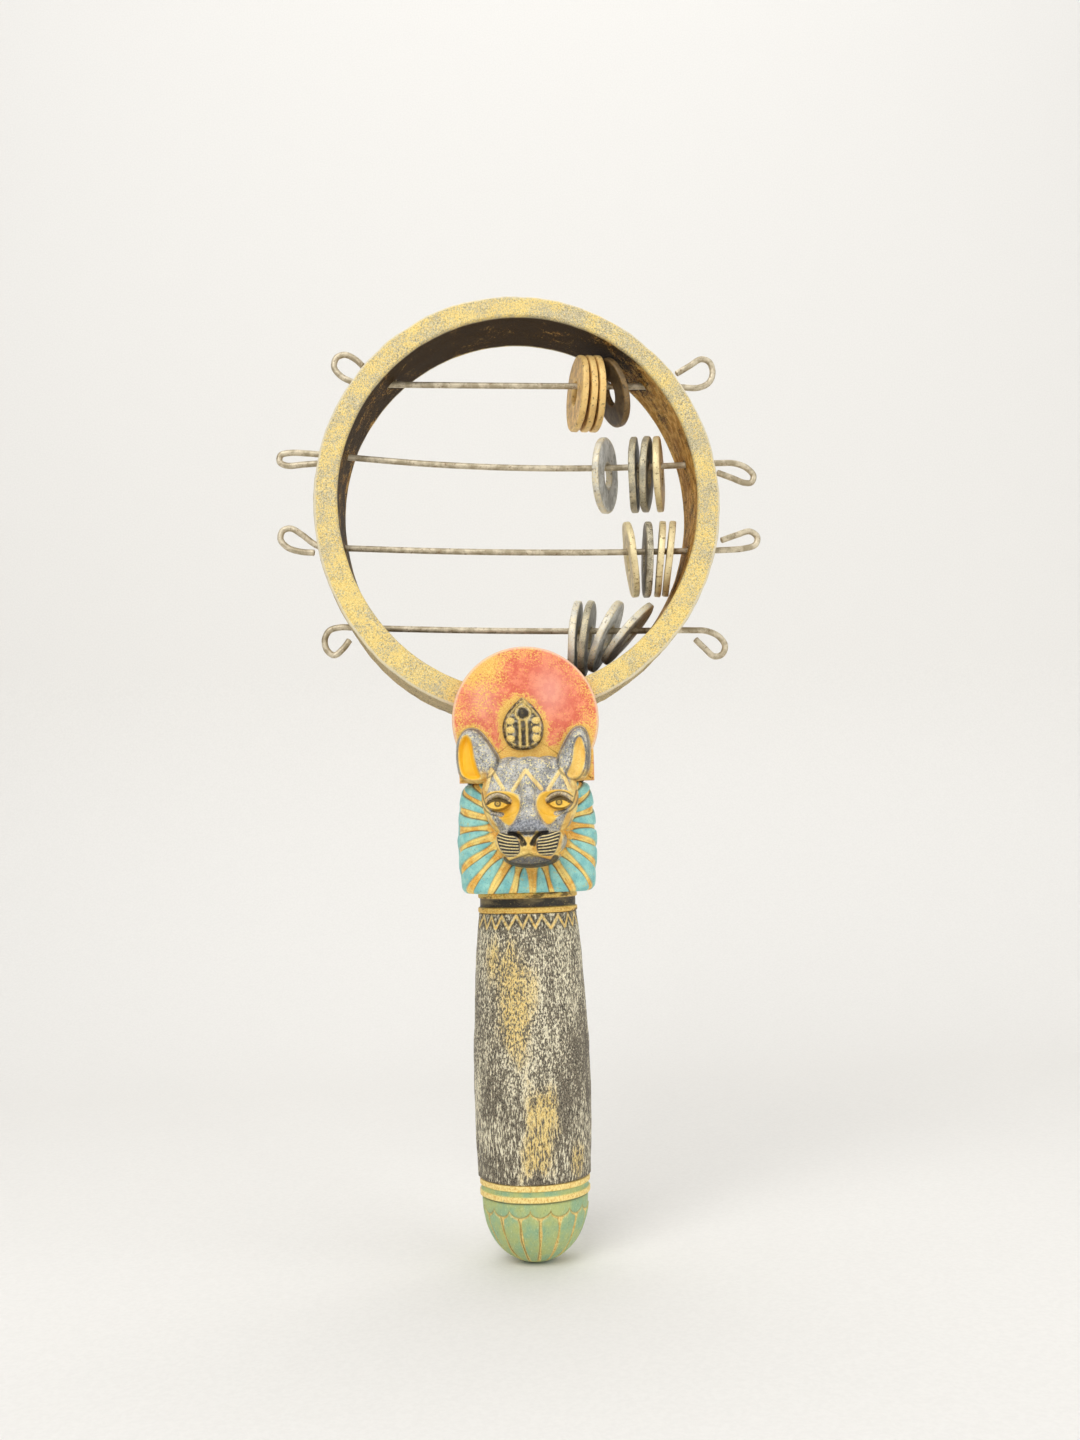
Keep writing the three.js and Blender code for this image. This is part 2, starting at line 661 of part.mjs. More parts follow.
// Tie rod: its round head bears on the inside of the hoop's foot.
function tieGeometry() {
    const r = TIE_DIAMETER / 2;
    const headRadius = TIE_HEAD_DIAMETER / 2;
    const low = POMMEL_HEIGHT - TIE_BLIND_DEPTH + RUNNING_GAP;
    const edgeReach = headRadius + Math.abs(inner.x);
    const edgeRise = inner.down * (1 - Math.sqrt(1 - (edgeReach / inner.half) ** 2));
    const neck = hoopFoot + HOOP_FOOT_WALL + edgeRise + SEAT_GAP;
    const crown = neck + TIE_HEAD_HEIGHT;
    const profile = [
        [0, low],
        [r, low],
        [r, neck],
        [headRadius, neck],
        [headRadius, crown - TIE_HEAD_HEIGHT / 2],
        [headRadius * 0.7, crown],
        [0, crown],
    ];
    const geometry = new THREE.LatheGeometry(profile.map(([a, b]) => new THREE.Vector2(a, b)), 20);
    geometry.rotateX(Math.PI / 2);
    return geometry;
}

add('pommel', pommelGeometry(), 0x7f9a86, 0.7);
add('grip', gripGeometry(), 0x57534d, 0.75);
add('collar', collarGeometry(), 0xb99a52, 0.6, 0.2);
add('mane', maneGeometry(), 0x7fc4c4, 0.7);
add('lioness_head', headGeometry(), 0x77777c, 0.65);
add('sun_disc', sunGeometry(), 0xc9694f, 0.7);
add('sun_ornament', ornamentGeometry(), 0x6b5c3a, 0.6);
add('hoop_seat', seatGeometry(), 0xb5604a, 0.75);
add('hoop', hoopGeometry(), 0xb8ab84, 0.6);
add('tie_rod', tieGeometry(), 0x8a8478, 0.5, 0.6);

for (const [i, wire] of WIRES.entries()) {
    add(wire.name, wireGeometry(wire), 0xb9b2a4, 0.4, 0.8);
    const places = discPlaces(wire, ROWS[i], WALL_GAPS[i]);
    for (const [k, disc] of ROWS[i].entries()) {
        const mesh = add(`disc_${i + 1}${'abcd'[k]}`, discGeometry(disc), ROW_COLOURS[i], 0.45, 0.85);
        mesh.position.copy(places[k]);
        mesh.rotation.copy(discTurn(disc));
    }
}

export default sistrum;
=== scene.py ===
import functools
import itertools
import math

import bpy
import numpy as np
from mathutils import Matrix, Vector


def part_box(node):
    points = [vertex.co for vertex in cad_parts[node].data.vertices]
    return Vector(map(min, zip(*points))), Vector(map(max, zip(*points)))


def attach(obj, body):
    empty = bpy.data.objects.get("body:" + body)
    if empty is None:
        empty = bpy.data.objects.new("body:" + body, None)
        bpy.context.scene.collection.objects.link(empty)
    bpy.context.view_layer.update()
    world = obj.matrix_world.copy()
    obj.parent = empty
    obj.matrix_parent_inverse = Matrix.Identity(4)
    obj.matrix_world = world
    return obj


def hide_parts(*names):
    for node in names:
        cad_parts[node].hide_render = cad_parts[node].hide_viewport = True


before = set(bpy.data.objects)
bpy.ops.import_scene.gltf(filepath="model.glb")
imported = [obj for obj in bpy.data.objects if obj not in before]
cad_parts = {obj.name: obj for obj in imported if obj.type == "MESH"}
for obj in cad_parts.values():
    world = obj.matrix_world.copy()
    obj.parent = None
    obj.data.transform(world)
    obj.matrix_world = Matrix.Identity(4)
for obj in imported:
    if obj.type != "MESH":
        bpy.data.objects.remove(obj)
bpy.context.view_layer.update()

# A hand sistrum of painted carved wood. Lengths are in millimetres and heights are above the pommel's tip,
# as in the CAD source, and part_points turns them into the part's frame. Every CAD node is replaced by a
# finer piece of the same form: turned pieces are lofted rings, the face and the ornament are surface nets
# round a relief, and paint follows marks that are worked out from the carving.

MM = 0.001
TIP = -65.45  # height of the pommel's tip in the part's frame
BODY = "frame"
COARSE = 1  # a larger number gives fewer points


# Numbers and curves

def part_points(points):
    moved = np.array(points, float).reshape(-1, 3)
    moved[:, 2] += TIP
    return moved * MM


def ease(value, low, high):
    t = np.clip((np.asarray(value, float) - low) / (high - low), 0, 1)
    return t * t * (3 - 2 * t)


def near(distance, half, soft=0.2):
    """1 within half of a line, falling to 0 over soft."""
    return 1 - ease(distance, half, half + soft)


def bell(value, width):
    return np.exp(-(np.asarray(value, float) / width) ** 2)


def blob(x, z, spot):
    """1 at a spot (x, z, half width, half height), falling off like a bell round it."""
    at_x, at_z, wide, high = spot
    return bell(np.hypot((x - at_x) / wide, (z - at_z) / high), 1)


def blobs(x, z, *spots):
    return sum(blob(x, z, spot) for spot in spots)


def cap(square):
    """A round cap: 1 in the middle, and 0 where the squared share of its radius reaches 1."""
    return np.sqrt(np.clip(1 - square, 0, 1))


def strongest(*layers):
    return functools.reduce(np.maximum, layers)


def hermite(p1, p2, v1, v2, t):
    """A cubic from p1 to p2 that leaves with v1 and arrives with v2."""
    return (2 * p1 - 2 * p2 + v1 + v2) * t**3 + (3 * p2 - 3 * p1 - 2 * v1 - v2) * t**2 + v1 * t + p1


def ripple(points, size, seed, waves=8):
    """A smooth wobble of about -1 to 1, with swells of about that size."""
    rng = np.random.default_rng(seed)
    total = 0
    for _ in range(waves):
        way = rng.normal(size=3)
        way *= 2 * math.pi * rng.uniform(0.6, 1.3) / (size * np.linalg.norm(way))
        total = total + np.sin(points @ way + rng.uniform(0, 2 * math.pi))
    return total / math.sqrt(waves)


def line_distance(x, z, line):
    best = np.full(np.shape(x), 1e9)
    for (ax, az), (bx, bz) in zip(line, line[1:]):
        dx, dz = bx - ax, bz - az
        t = np.clip(((x - ax) * dx + (z - az) * dz) / (dx * dx + dz * dz), 0, 1)
        best = np.minimum(best, np.hypot(x - ax - t * dx, z - az - t * dz))
    return best


def depth_inside(x, z, outline):
    """Distance to a closed outline, positive inside it."""
    closed = list(outline) + [outline[0]]
    inside = np.zeros(np.shape(x), bool)
    for (ax, az), (bx, bz) in zip(closed, closed[1:]):
        if az != bz:
            inside ^= ((az > z) != (bz > z)) & (x < (bx - ax) * (z - az) / (bz - az) + ax)
    return np.where(inside, 1, -1) * line_distance(x, z, closed)


def rounded(points, rounds=3):
    """A closed outline with its corners cut off again and again."""
    p = np.array(points, float)
    for _ in range(rounds):
        q = np.roll(p, -1, 0)
        p = np.stack([0.75 * p + 0.25 * q, 0.25 * p + 0.75 * q], 1).reshape(-1, 2)
    return [tuple(v) for v in p]


def bent(points, rounds=3):
    """An open line with its corners cut off again and again, and its ends kept."""
    p = np.array(points, float)
    for _ in range(rounds):
        a, b = p[:-1], p[1:]
        cut = np.stack([0.75 * a + 0.25 * b, 0.25 * a + 0.75 * b], 1).reshape(-1, 2)
        p = np.concatenate([p[:1], cut, p[-1:]])
    return [tuple(v) for v in p]


def mirrored(points):
    return [(-x, z) for x, z in points]


def circle(count):
    return 2 * math.pi * np.arange(count) / count


def quarter(count):
    return np.linspace(0, math.pi / 2, count)


# Meshes

def loft(rings, ends=True):
    """Faces for rings (count, around, 3) that close on themselves. Each end is closed by a fan, or where
    ends is False the last ring joins the first."""
    n, m = rings.shape[:2]
    k = np.arange(m)
    rows = np.arange(n - 1 if ends else n)
    a = rows[:, None] * m + k
    b = rows[:, None] * m + (k + 1) % m
    up = ((rows + 1) % n - rows)[:, None] * m
    faces = np.stack([a, b, b + up, a + up], -1).reshape(-1, 4).tolist()
    points = rings.reshape(-1, 3)
    if ends:
        points = np.concatenate([points, rings[0].mean(0)[None], rings[-1].mean(0)[None]])
        last = (n - 1) * m
        faces += [((i + 1) % m, i, n * m) for i in range(m)]
        faces += [(last + i, last + (i + 1) % m, n * m + 1) for i in range(m)]
    return points, faces


CORNERS = np.array(list(itertools.product((0, 1), repeat=3)))
EDGES = [
    (a, b) for a in range(8) for b in range(a + 1, 8) if np.abs(CORNERS[a] - CORNERS[b]).sum() == 1
]


def surface_net(field, origin, step):
    """Points and faces of the closed surface where a field sampled on a grid falls to zero."""
    solid = field > 0
    n = field.shape
    filled = sum(
        solid[i : n[0] - 1 + i, j : n[1] - 1 + j, k : n[2] - 1 + k].astype(np.int8)
        for i, j, k in CORNERS
    )
    active = (filled > 0) & (filled < 8)
    cells = np.argwhere(active)
    values = [field[tuple((cells + corner).T)] for corner in CORNERS]
    total, hits = np.zeros((len(cells), 3)), np.zeros(len(cells))
    for a, b in EDGES:
        crossed = (values[a] > 0) != (values[b] > 0)
        gap = np.where(crossed, values[a] - values[b], 1)
        t = np.where(crossed, values[a] / gap, 0)[:, None]
        total += np.where(crossed[:, None], CORNERS[a] + t * (CORNERS[b] - CORNERS[a]), 0)
        hits += crossed
    points = np.array(origin) + step * (cells + total / hits[:, None])
    index = np.full(active.shape, -1)
    index[active] = np.arange(len(cells))
    faces = []
    for axis in range(3):
        u, v = (axis + 1) % 3, (axis + 2) % 3
        low = np.take(solid, range(n[axis] - 1), axis)
        high = np.take(solid, range(1, n[axis]), axis)
        at = np.argwhere(low != high)
        at = at[(at[:, u] > 0) & (at[:, v] > 0) & (at[:, u] < n[u] - 1) & (at[:, v] < n[v] - 1)]
        eu, ev = np.eye(3, dtype=int)[u], np.eye(3, dtype=int)[v]
        quad = np.stack([index[tuple((at - s).T)] for s in (0 * eu, eu, eu + ev, ev)], -1)
        turned = low[tuple(at.T)]
        quad[turned] = quad[turned][:, ::-1]
        faces += quad.tolist()
    return points, faces


def outwards(points, faces):
    """The faces, turned round if they look inwards."""
    tri = np.array([f[:3] for f in faces])
    quads = [f for f in faces if len(f) == 4]
    rest = np.array([(f[0], f[2], f[3]) for f in quads]) if quads else np.zeros((0, 3), int)
    a, b, c = (points[np.concatenate([tri, rest])[:, i]] for i in range(3))
    volume = np.einsum("ij,ij->i", a, np.cross(b, c)).sum()
    return faces if volume > 0 else [tuple(reversed(f)) for f in faces]


def mesh_object(name, points, faces, smooth=True):
    mesh = bpy.data.meshes.new(name)
    mesh.from_pydata(points.tolist(), [], faces)
    if smooth:
        mesh.polygons.foreach_set("use_smooth", np.ones(len(mesh.polygons), bool))
    obj = bpy.data.objects.new(name, mesh)
    bpy.context.scene.collection.objects.link(obj)
    return obj


def piece(name, shape, material, nodes, body=BODY, marks=None):
    points, faces = shape
    placed = part_points(points)
    obj = mesh_object(name, placed, outwards(placed - placed.mean(0), faces))
    for key, value in (marks or {}).items():
        mark = obj.data.attributes.new(key, "FLOAT", "POINT")
        mark.data.foreach_set("value", np.asarray(value, np.float32))
    obj.data.materials.append(material)
    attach(obj, body)
    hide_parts(*nodes)
    return obj


def lofted(name, rings, marks, material, nodes, body=BODY, ends=True):
    """A piece from rings, with marks for each of their points and a value added for each closed end."""
    flat = {}
    for key, value in marks.items():
        tail = [value[0].mean(), value[-1].mean()] if ends else []
        flat[key] = np.concatenate([value.ravel(), tail])
    return piece(name, loft(rings, ends), material, nodes, body, flat)


# Materials

def rgb(r, g, b):
    line = [c / 255 for c in (r, g, b)]
    return tuple(c / 12.92 if c <= 0.04045 else ((c + 0.055) / 1.055) ** 2.4 for c in line) + (1.0,)


class Finish:
    """A material whose nodes are written as expressions. Sizes are in millimetres on the part."""

    def __init__(self, name, rough=0.6, metal=0.0, specular=0.5):
        self.material = bpy.data.materials.new(name)
        self.material.use_nodes = True
        self.nodes = self.material.node_tree.nodes
        self.inputs = self.nodes["Principled BSDF"].inputs
        self.inputs["Roughness"].default_value = rough
        self.inputs["Metallic"].default_value = metal
        self.inputs["Specular IOR Level"].default_value = specular
        self.place = self.add("ShaderNodeTexCoord", {}).outputs["Object"]

    def feed(self, socket, value):
        if isinstance(value, bpy.types.NodeSocket):
            self.material.node_tree.links.new(value, socket)
        else:
            socket.default_value = value

    def add(self, kind, inputs, **settings):
        node = self.nodes.new(kind)
        for key, value in settings.items():
            setattr(node, key, value)
        for key, value in inputs.items():
            self.feed(node.inputs[key], value)
        return node

    def noise(self, size, seed, rough=0.6, detail=4.0, stretch=(1, 1, 1), place=None):
        moved = self.add("ShaderNodeMapping", {
            "Vector": place or self.place,
            "Location": (seed * 3.7, seed * 1.3, seed * 5.1),
            "Scale": [1 / (size * MM * s) for s in stretch],
        }).outputs[0]
        inputs = {"Vector": moved, "Scale": 1.0, "Detail": detail, "Roughness": rough}
        return self.add("ShaderNodeTexNoise", inputs).outputs["Fac"]

    def mark(self, name):
        return self.add("ShaderNodeAttribute", {}, attribute_name=name).outputs["Fac"]

    def spread(self, value, start, end, **settings):
        limits = {"From Min": start[0], "From Max": start[1], "To Min": end[0], "To Max": end[1]}
        return self.add("ShaderNodeMapRange", {"Value": value, **limits}, **settings).outputs["Result"]

    def band(self, value, low, high, much=1.0):
        """0 below low, much above high, and eased between."""
        return self.spread(value, (low, high), (0.0, much), interpolation_type="SMOOTHSTEP")

    def calc(self, how, a, b):
        return self.add("ShaderNodeMath", {0: a, 1: b}, operation=how).outputs[0]

    def total(self, *terms):
        """The sum of values, each given with its weight."""
        parts = [self.calc("MULTIPLY", value, weight) for value, weight in terms]
        return functools.reduce(lambda a, b: self.calc("ADD", a, b), parts)

    def mix(self, share, a, b):
        return self.add("ShaderNodeMix", {0: share, 6: a, 7: b}, data_type="RGBA").outputs[2]

    def paint(self, base, *layers):
        """The base with (value, low, high, colour, how much) layers over it, eased in from low to high."""
        for value, low, high, colour, *much in layers:
            base = self.mix(self.band(value, low, high, *much), base, colour)
        return base

    def colour(self, value):
        self.feed(self.inputs["Base Color"], value)

    def marked(self, base, gilt, dark):
        """The base colour with its gold and then its dark marks over it."""
        self.colour(self.mix(self.mark("dark"), self.mix(self.mark("gold"), base, gilt), dark))

    def done(self, rough, *bumps):
        """The material, given its (value, from, to) roughness and (height, millimetres) bumps."""
        value, *ends = rough
        self.feed(self.inputs["Roughness"], self.spread(value, (0.0, 1.0), ends))
        below = {}
        for height, deep in bumps:
            inputs = {"Height": height, "Distance": deep * MM, "Strength": 1.0, **below}
            below = {"Normal": self.add("ShaderNodeBump", inputs).outputs["Normal"]}
        self.feed(self.inputs["Normal"], below["Normal"])
        return self.material


def hoop_finish():
    m = Finish("hoop_paint")
    # along and across are in metres, so that noise runs with the band wherever it turns
    along, inner, gilt = m.mark("along"), m.mark("inner"), m.mark("gilt")
    run = m.add("ShaderNodeCombineXYZ", {"X": along, "Y": m.mark("across"), "Z": along}).outputs[0]
    streak = m.noise(0.6, 1, 0.65, 4, (5, 1, 1e6), run)
    blot = m.noise(2.2, 2, 0.65, 4, (1.5, 1, 1e6), run)
    grain = m.noise(0.30, 3, 0.7, 3)
    speck = m.noise(0.52, 4, 0.7)
    cloud = m.noise(7.0, 50)
    gold = m.paint(rgb(216, 178, 88), (grain, 0.34, 0.62, rgb(248, 226, 148)))
    grey = m.paint(rgb(146, 134, 102), (grain, 0.36, 0.6, rgb(216, 204, 168)))
    cover = m.total((speck, 0.72), (cloud, 0.42), (gilt, 1))
    rim = m.paint(grey, (cover, 0.50, 0.66, gold), (speck, 0.42, 0.34, rgb(112, 96, 60), 0.6))
    rim = m.mix(m.calc("MULTIPLY", m.mark("edge"), 0.8), rim, rgb(232, 222, 196))
    # the inner wall's near-black brown is dark paint with painted shade added: it is painted darker so that
    # it reads as shaded
    dark_tone = m.paint(rgb(26, 18, 8), (grain, 0.36, 0.64, rgb(74, 54, 26)))
    amber = m.paint(
        rgb(176, 124, 50), (blot, 0.40, 0.62, rgb(226, 180, 98)), (grain, 0.44, 0.34, rgb(70, 48, 20), 0.7)
    )
    tan = m.paint(rgb(150, 126, 80), (speck, 0.40, 0.6, rgb(206, 182, 124)))
    share = m.total((cloud, 0.45), (streak, 0.05), (speck, 0.5), (gilt, 1))
    inside = m.paint(dark_tone, (share, 0.50, 0.58, amber))
    outside = m.paint(rgb(84, 68, 38), (share, 0.44, 0.54, tan))
    m.colour(m.mix(m.mark("front"), m.mix(inner, outside, inside), rim))
    m.feed(m.inputs["Specular IOR Level"], m.calc("SUBTRACT", 0.35, m.calc("MULTIPLY", inner, 0.3)))
    return m.done((grain, 0.42, 0.72), (streak, 0.10), (speck, 0.18), (grain, 0.08))


def grip_finish():
    m = Finish("grip_paint", specular=0.4)
    low = m.mark("low")
    short, long = (m.noise(0.46, 5, 0.65, 3, (1, 1, tall)) for tall in (2.2, 4.4))
    fleck = m.total((short, m.calc("SUBTRACT", 1.0, low)), (long, low))
    fine = m.noise(0.26, 6, 0.6, 2, (1, 1, 2.0))
    patch = m.noise(6.5, 7, stretch=(1, 1, 2.8))
    streak = m.noise(1.3, 51, stretch=(1, 1, 6))
    base = m.paint(rgb(52, 46, 40), (fine, 0.36, 0.62, rgb(132, 122, 102)))
    pale = m.paint(rgb(198, 186, 154), (fine, 0.36, 0.6, rgb(242, 234, 206)))
    gilt = m.paint(rgb(200, 166, 92), (fine, 0.34, 0.6, rgb(240, 216, 148)))
    line = m.paint(rgb(226, 178, 82), (fine, 0.3, 0.6, rgb(250, 220, 140)))
    flecks = m.paint(pale, (m.total((m.mark("warm"), 1), (patch, 0.5)), 0.42, 0.60, gilt))
    share = m.total((fleck, 0.66), (patch, 0.24), (streak, 0.18), (m.mark("pale"), 1))
    m.marked(m.paint(base, (share, 0.52, 0.605, flecks)), line, rgb(54, 46, 34))
    return m.done((fleck, 0.4, 0.72), (fleck, 0.22), (fine, 0.08), (patch, 0.3))


def pommel_finish():
    m = Finish("pommel_paint", specular=0.45)
    cloud = m.noise(5, 9, stretch=(1, 1, 1.5))
    grain = m.noise(0.45, 10, 0.65, 3, (1, 1, 1.6))
    green = m.paint(
        rgb(146, 180, 140),
        (cloud, 0.36, 0.64, rgb(180, 190, 122)),
        (grain, 0.56, 0.74, rgb(206, 214, 160)),
        (grain, 0.42, 0.30, rgb(100, 122, 80), 0.5),
    )
    gilt = m.paint(rgb(222, 176, 88), (grain, 0.32, 0.6, rgb(250, 226, 148)))
    chipped = m.calc("SUBTRACT", 1.0, m.band(m.noise(1.5, 11), 0.66, 0.70, 0.7))
    painted = m.mix(m.calc("MULTIPLY", m.mark("gold"), chipped), green, gilt)
    # the dark marks include a painted shadow line beside each petal
    m.colour(m.mix(m.mark("dark"), painted, rgb(84, 74, 40)))
    return m.done((cloud, 0.42, 0.62), (grain, 0.08), (cloud, 0.3))


def collar_finish():
    m = Finish("collar_paint", specular=0.45)
    grain = m.noise(0.4, 12, 0.65, 3, (1.6, 1.6, 1))
    cloud = m.noise(4, 13, stretch=(2, 2, 0.7))
    dark = m.paint(
        rgb(50, 44, 34), (cloud, 0.44, 0.68, rgb(132, 116, 82)), (grain, 0.60, 0.74, rgb(196, 168, 106))
    )
    gilt = m.paint(
        rgb(210, 152, 56), (grain, 0.34, 0.6, rgb(244, 208, 116)), (cloud, 0.58, 0.66, rgb(78, 64, 40), 0.85)
    )
    m.colour(m.mix(m.mark("gold"), dark, gilt))
    return m.done((cloud, 0.4, 0.7), (grain, 0.10), (cloud, 0.2))


def mane_finish():
    m = Finish("mane_paint", specular=0.45)
    cloud = m.noise(3.4, 14)
    grain = m.noise(0.36, 15, 0.65, 3)
    blue = m.paint(
        rgb(122, 190, 188),
        (cloud, 0.36, 0.64, rgb(160, 216, 204)),
        (grain, 0.44, 0.30, rgb(66, 112, 106), 0.6),
        (m.noise(1.3, 16, 0.55, 3), 0.62, 0.67, rgb(202, 196, 120), 0.6),
    )
    gilt = m.paint(
        rgb(240, 178, 72),
        (cloud, 0.38, 0.6, rgb(254, 222, 126)),
        (grain, 0.56, 0.72, rgb(252, 230, 158)),
        (grain, 0.42, 0.30, rgb(150, 100, 36), 0.7),
    )
    # the dark marks are mostly painted shadow along one side of each groove
    m.marked(blue, gilt, rgb(66, 50, 24))
    return m.done((grain, 0.42, 0.66), (grain, 0.09), (cloud, 0.25))


def head_finish():
    m = Finish("head_paint", specular=0.5)
    grain = m.noise(0.34, 17, 0.7, 3)
    cloud = m.noise(3.6, 18)
    speck = m.noise(0.62, 19, 0.65, 3, (1, 1, 1.2))
    grey = m.paint(
        rgb(146, 146, 144),
        (cloud, 0.38, 0.62, rgb(204, 202, 196)),
        (grain, 0.50, 0.38, rgb(62, 58, 52), 0.9),
        (speck, 0.55, 0.62, rgb(244, 228, 162), 0.9),
    )
    gilt = m.paint(
        rgb(224, 168, 62), (cloud, 0.36, 0.62, rgb(250, 218, 124)), (grain, 0.42, 0.30, rgb(128, 92, 36), 0.6)
    )
    cream = m.paint(rgb(224, 196, 122), (grain, 0.36, 0.6, rgb(252, 236, 176)))
    gilt = m.mix(m.mark("cream"), m.mix(m.mark("amber"), gilt, rgb(250, 194, 40)), cream)
    slate = m.paint(rgb(96, 98, 104), (speck, 0.40, 0.60, rgb(158, 162, 170)))
    # the colour of the dark marks: dark paint, and painted shade along the mouth
    dark_tone = m.paint(rgb(30, 24, 16), (speck, 0.58, 0.70, rgb(150, 130, 88)))
    m.marked(m.mix(m.mark("slate"), grey, slate), gilt, dark_tone)
    return m.done((speck, 0.36, 0.62), (grain, 0.08), (speck, 0.12), (cloud, 0.15))


def sun_finish():
    m = Finish("sun_paint", specular=0.45)
    cloud = m.noise(7.5, 20)
    mottle = m.noise(0.5, 21, 0.7)
    grain = m.noise(0.3, 22, 0.7, 3)
    swirl = m.noise(3.0, 52, 0.65)
    red = m.paint(
        rgb(224, 104, 76),
        (swirl, 0.40, 0.60, rgb(240, 138, 102)),
        (mottle, 0.45, 0.35, rgb(202, 90, 60), 0.55),
    )
    # the pale mark is painted highlight: pale pink spots on the coral
    red = m.mix(m.mark("pale"), red, rgb(252, 196, 176))
    gilt = m.paint(rgb(228, 168, 62), (grain, 0.36, 0.62, rgb(252, 218, 116)))
    share = m.total((cloud, 0.30), (mottle, 0.74), (m.mark("gilt"), 1))
    face = m.mix(m.mark("edge"), m.paint(red, (share, 0.57, 0.66, gilt, 0.9)), rgb(248, 214, 184))
    m.colour(m.mix(m.mark("dark"), face, rgb(120, 70, 34)))
    return m.done((mottle, 0.4, 0.66), (grain, 0.08), (mottle, 0.14), (cloud, 0.3))


def ornament_finish():
    m = Finish("ornament_paint", specular=0.45)
    grain = m.noise(0.32, 23, 0.7, 3)
    cloud = m.noise(1.6, 24)
    dark = m.paint(
        rgb(66, 58, 44),
        (cloud, 0.46, 0.62, rgb(168, 160, 140)),
        (m.noise(0.7, 53, 0.7, 4, (1, 1, 1.6)), 0.56, 0.62, rgb(236, 206, 120)),
    )
    gilt = m.paint(rgb(214, 174, 84), (grain, 0.36, 0.62, rgb(244, 218, 140)))
    m.marked(dark, gilt, rgb(44, 36, 22))
    return m.done((grain, 0.4, 0.65), (grain, 0.08), (cloud, 0.12))


def seat_finish():
    m = Finish("seat_paint", specular=0.4)
    cloud = m.noise(6, 25)
    grain = m.noise(0.45, 26, 0.65, 4, (4, 1, 1))
    dark = m.paint(rgb(88, 76, 56), (cloud, 0.4, 0.62, rgb(138, 124, 92)))
    gilt = m.paint(rgb(196, 160, 92), (grain, 0.4, 0.6, rgb(228, 204, 144)))
    m.colour(m.paint(dark, (m.calc("ADD", cloud, grain), 1.0, 1.18, gilt)))
    return m.done((grain, 0.45, 0.75), (grain, 0.14), (cloud, 0.3))


def metal_finish(name, seed, metal, colours, stretch=(1, 1, 1)):
    """Bare metal: its bright, dull, stained and rim colours, and how metallic it is."""
    bright, dull, stain, rim = (rgb(*colour) for colour in colours)
    m = Finish(name, metal=metal)
    cloud = m.noise(3.2, seed)
    grain = m.noise(0.26, seed + 0.5, 0.65, 3, stretch)
    spot = m.noise(1.1, seed + 0.25, 0.65)
    base = m.paint(dull, (cloud, 0.38, 0.62, bright), (spot, 0.56, 0.68, stain, 0.8))
    worn = m.paint(bright, (grain, 0.35, 0.6, rim), (spot, 0.58, 0.64, stain, 0.8))
    m.colour(m.mix(m.mark("edge"), base, worn))
    return m.done((m.total((cloud, 0.5), (grain, 0.5)), 0.28, 0.66), (grain, 0.05), (spot, 0.08))


# Handle: pommel, grip and collar are oval, and their fronts face the camera

FLAT = 30.6 / 36.0  # depth over width


def oval_rings(profile, around, stand=None):
    """Rings of an oval turned piece from [radius, height] pairs. stand(turn, height) moves points out."""
    r, z = (v[:, None] for v in np.array(profile, float).T)
    turn, z = np.broadcast_arrays(circle(around)[None], z + 0 * circle(around)[None])
    radius = r + (stand(turn, z) * np.clip(r / 3, 0, 1) if stand else 0)
    return np.stack([radius * np.sin(turn), -FLAT * radius * np.cos(turn), z], -1), turn, z


def capped(profile, rings=6):
    """The profile with rings added that close its flat ends."""
    (r0, z0), (r1, z1) = profile[0], profile[-1]
    low = [(r0 * k / rings, z0) for k in range(1, rings)] if r0 > 0.5 else []
    high = [(r1 * k / rings, z1) for k in range(rings - 1, 0, -1)] if r1 > 0.5 else []
    return low + list(profile) + high


def plateau(value, low, high, soft):
    return ease(value, low - soft / 2, low + soft / 2) * (1 - ease(value, high - soft / 2, high + soft / 2))


PETALS = 16
PETAL_TURN = math.radians(8.5)  # no petal's middle is quite in front
POMMEL_TOP = 25.5
POMMEL_R = 16.8
BAND_FOOT = 20.6


def pommel_forms(turn, z):
    """How far the pommel's carving stands out, and its gold and dark marks."""
    pitch = 2 * math.pi / PETALS
    count = (turn + PETAL_TURN) / pitch + 0.5
    p = 2 * (count % 1 - 0.5) + 0.05 * np.sin(z * 0.7 + 3 * np.floor(count))  # -1 to 1 across a petal
    half = pitch * np.interp(z, [0, 2, 6, 10, 15, 20], [1.5, 6, 11.5, 14.2, 15.8, 16.2]) / 2
    scallop = 18.1 - 2.3 * cap((1 - np.abs(p)) ** 2)
    levels, shares = [0, 3, 9, 13.5, 15.2, 16.4, 17.2, 17.6], [0.72, 0.84, 0.91, 0.92, 0.84, 0.60, 0.28, 0.02]
    wide = np.interp(z, levels, shares)
    side = (wide - np.abs(p)) * half  # distance inside the petal, in mm
    above = z - scallop
    leaf = ease(side, -0.10, 0.26) * ease(-above, -0.05, 0.30)
    yoke = ease(above, 0.0, 0.45) * (1 - ease(z, BAND_FOOT - 0.5, BAND_FOOT - 0.2))
    bands = plateau(z, BAND_FOOT, BAND_FOOT + 1.7, 0.45) + plateau(z, POMMEL_TOP - 1.7, POMMEL_TOP + 3, 0.45)
    crown = 0.22 * cap((p / np.maximum(wide, 0.05)) ** 2) * leaf
    stand = 0.55 * leaf + crown + 0.5 * yoke - 0.55 * (1 - ease(z, BAND_FOOT - 0.3, BAND_FOOT)) + 0.62 * bands
    gap = near(side, 0.04, 0.26) * (1 - ease(above, 0.0, 0.3))
    gold = np.clip(gap + bell(above - 0.14, 0.33) + bands, 0, 1) * ease(z, 0.5, 2.2)
    # edge: a painted shadow line along one side of each petal, in the groove
    edge = bell(side + 0.06, 0.15) * (p > 0) * (above < 0)
    lip = bell(z - BAND_FOOT + 0.35, 0.22) + 0.8 * bell(above - 0.5, 0.16)
    return stand * ease(z, 0.3, 2.5), gold, np.clip(0.75 * edge + 0.7 * lip, 0, 0.85) * ease(z, 0.5, 3)


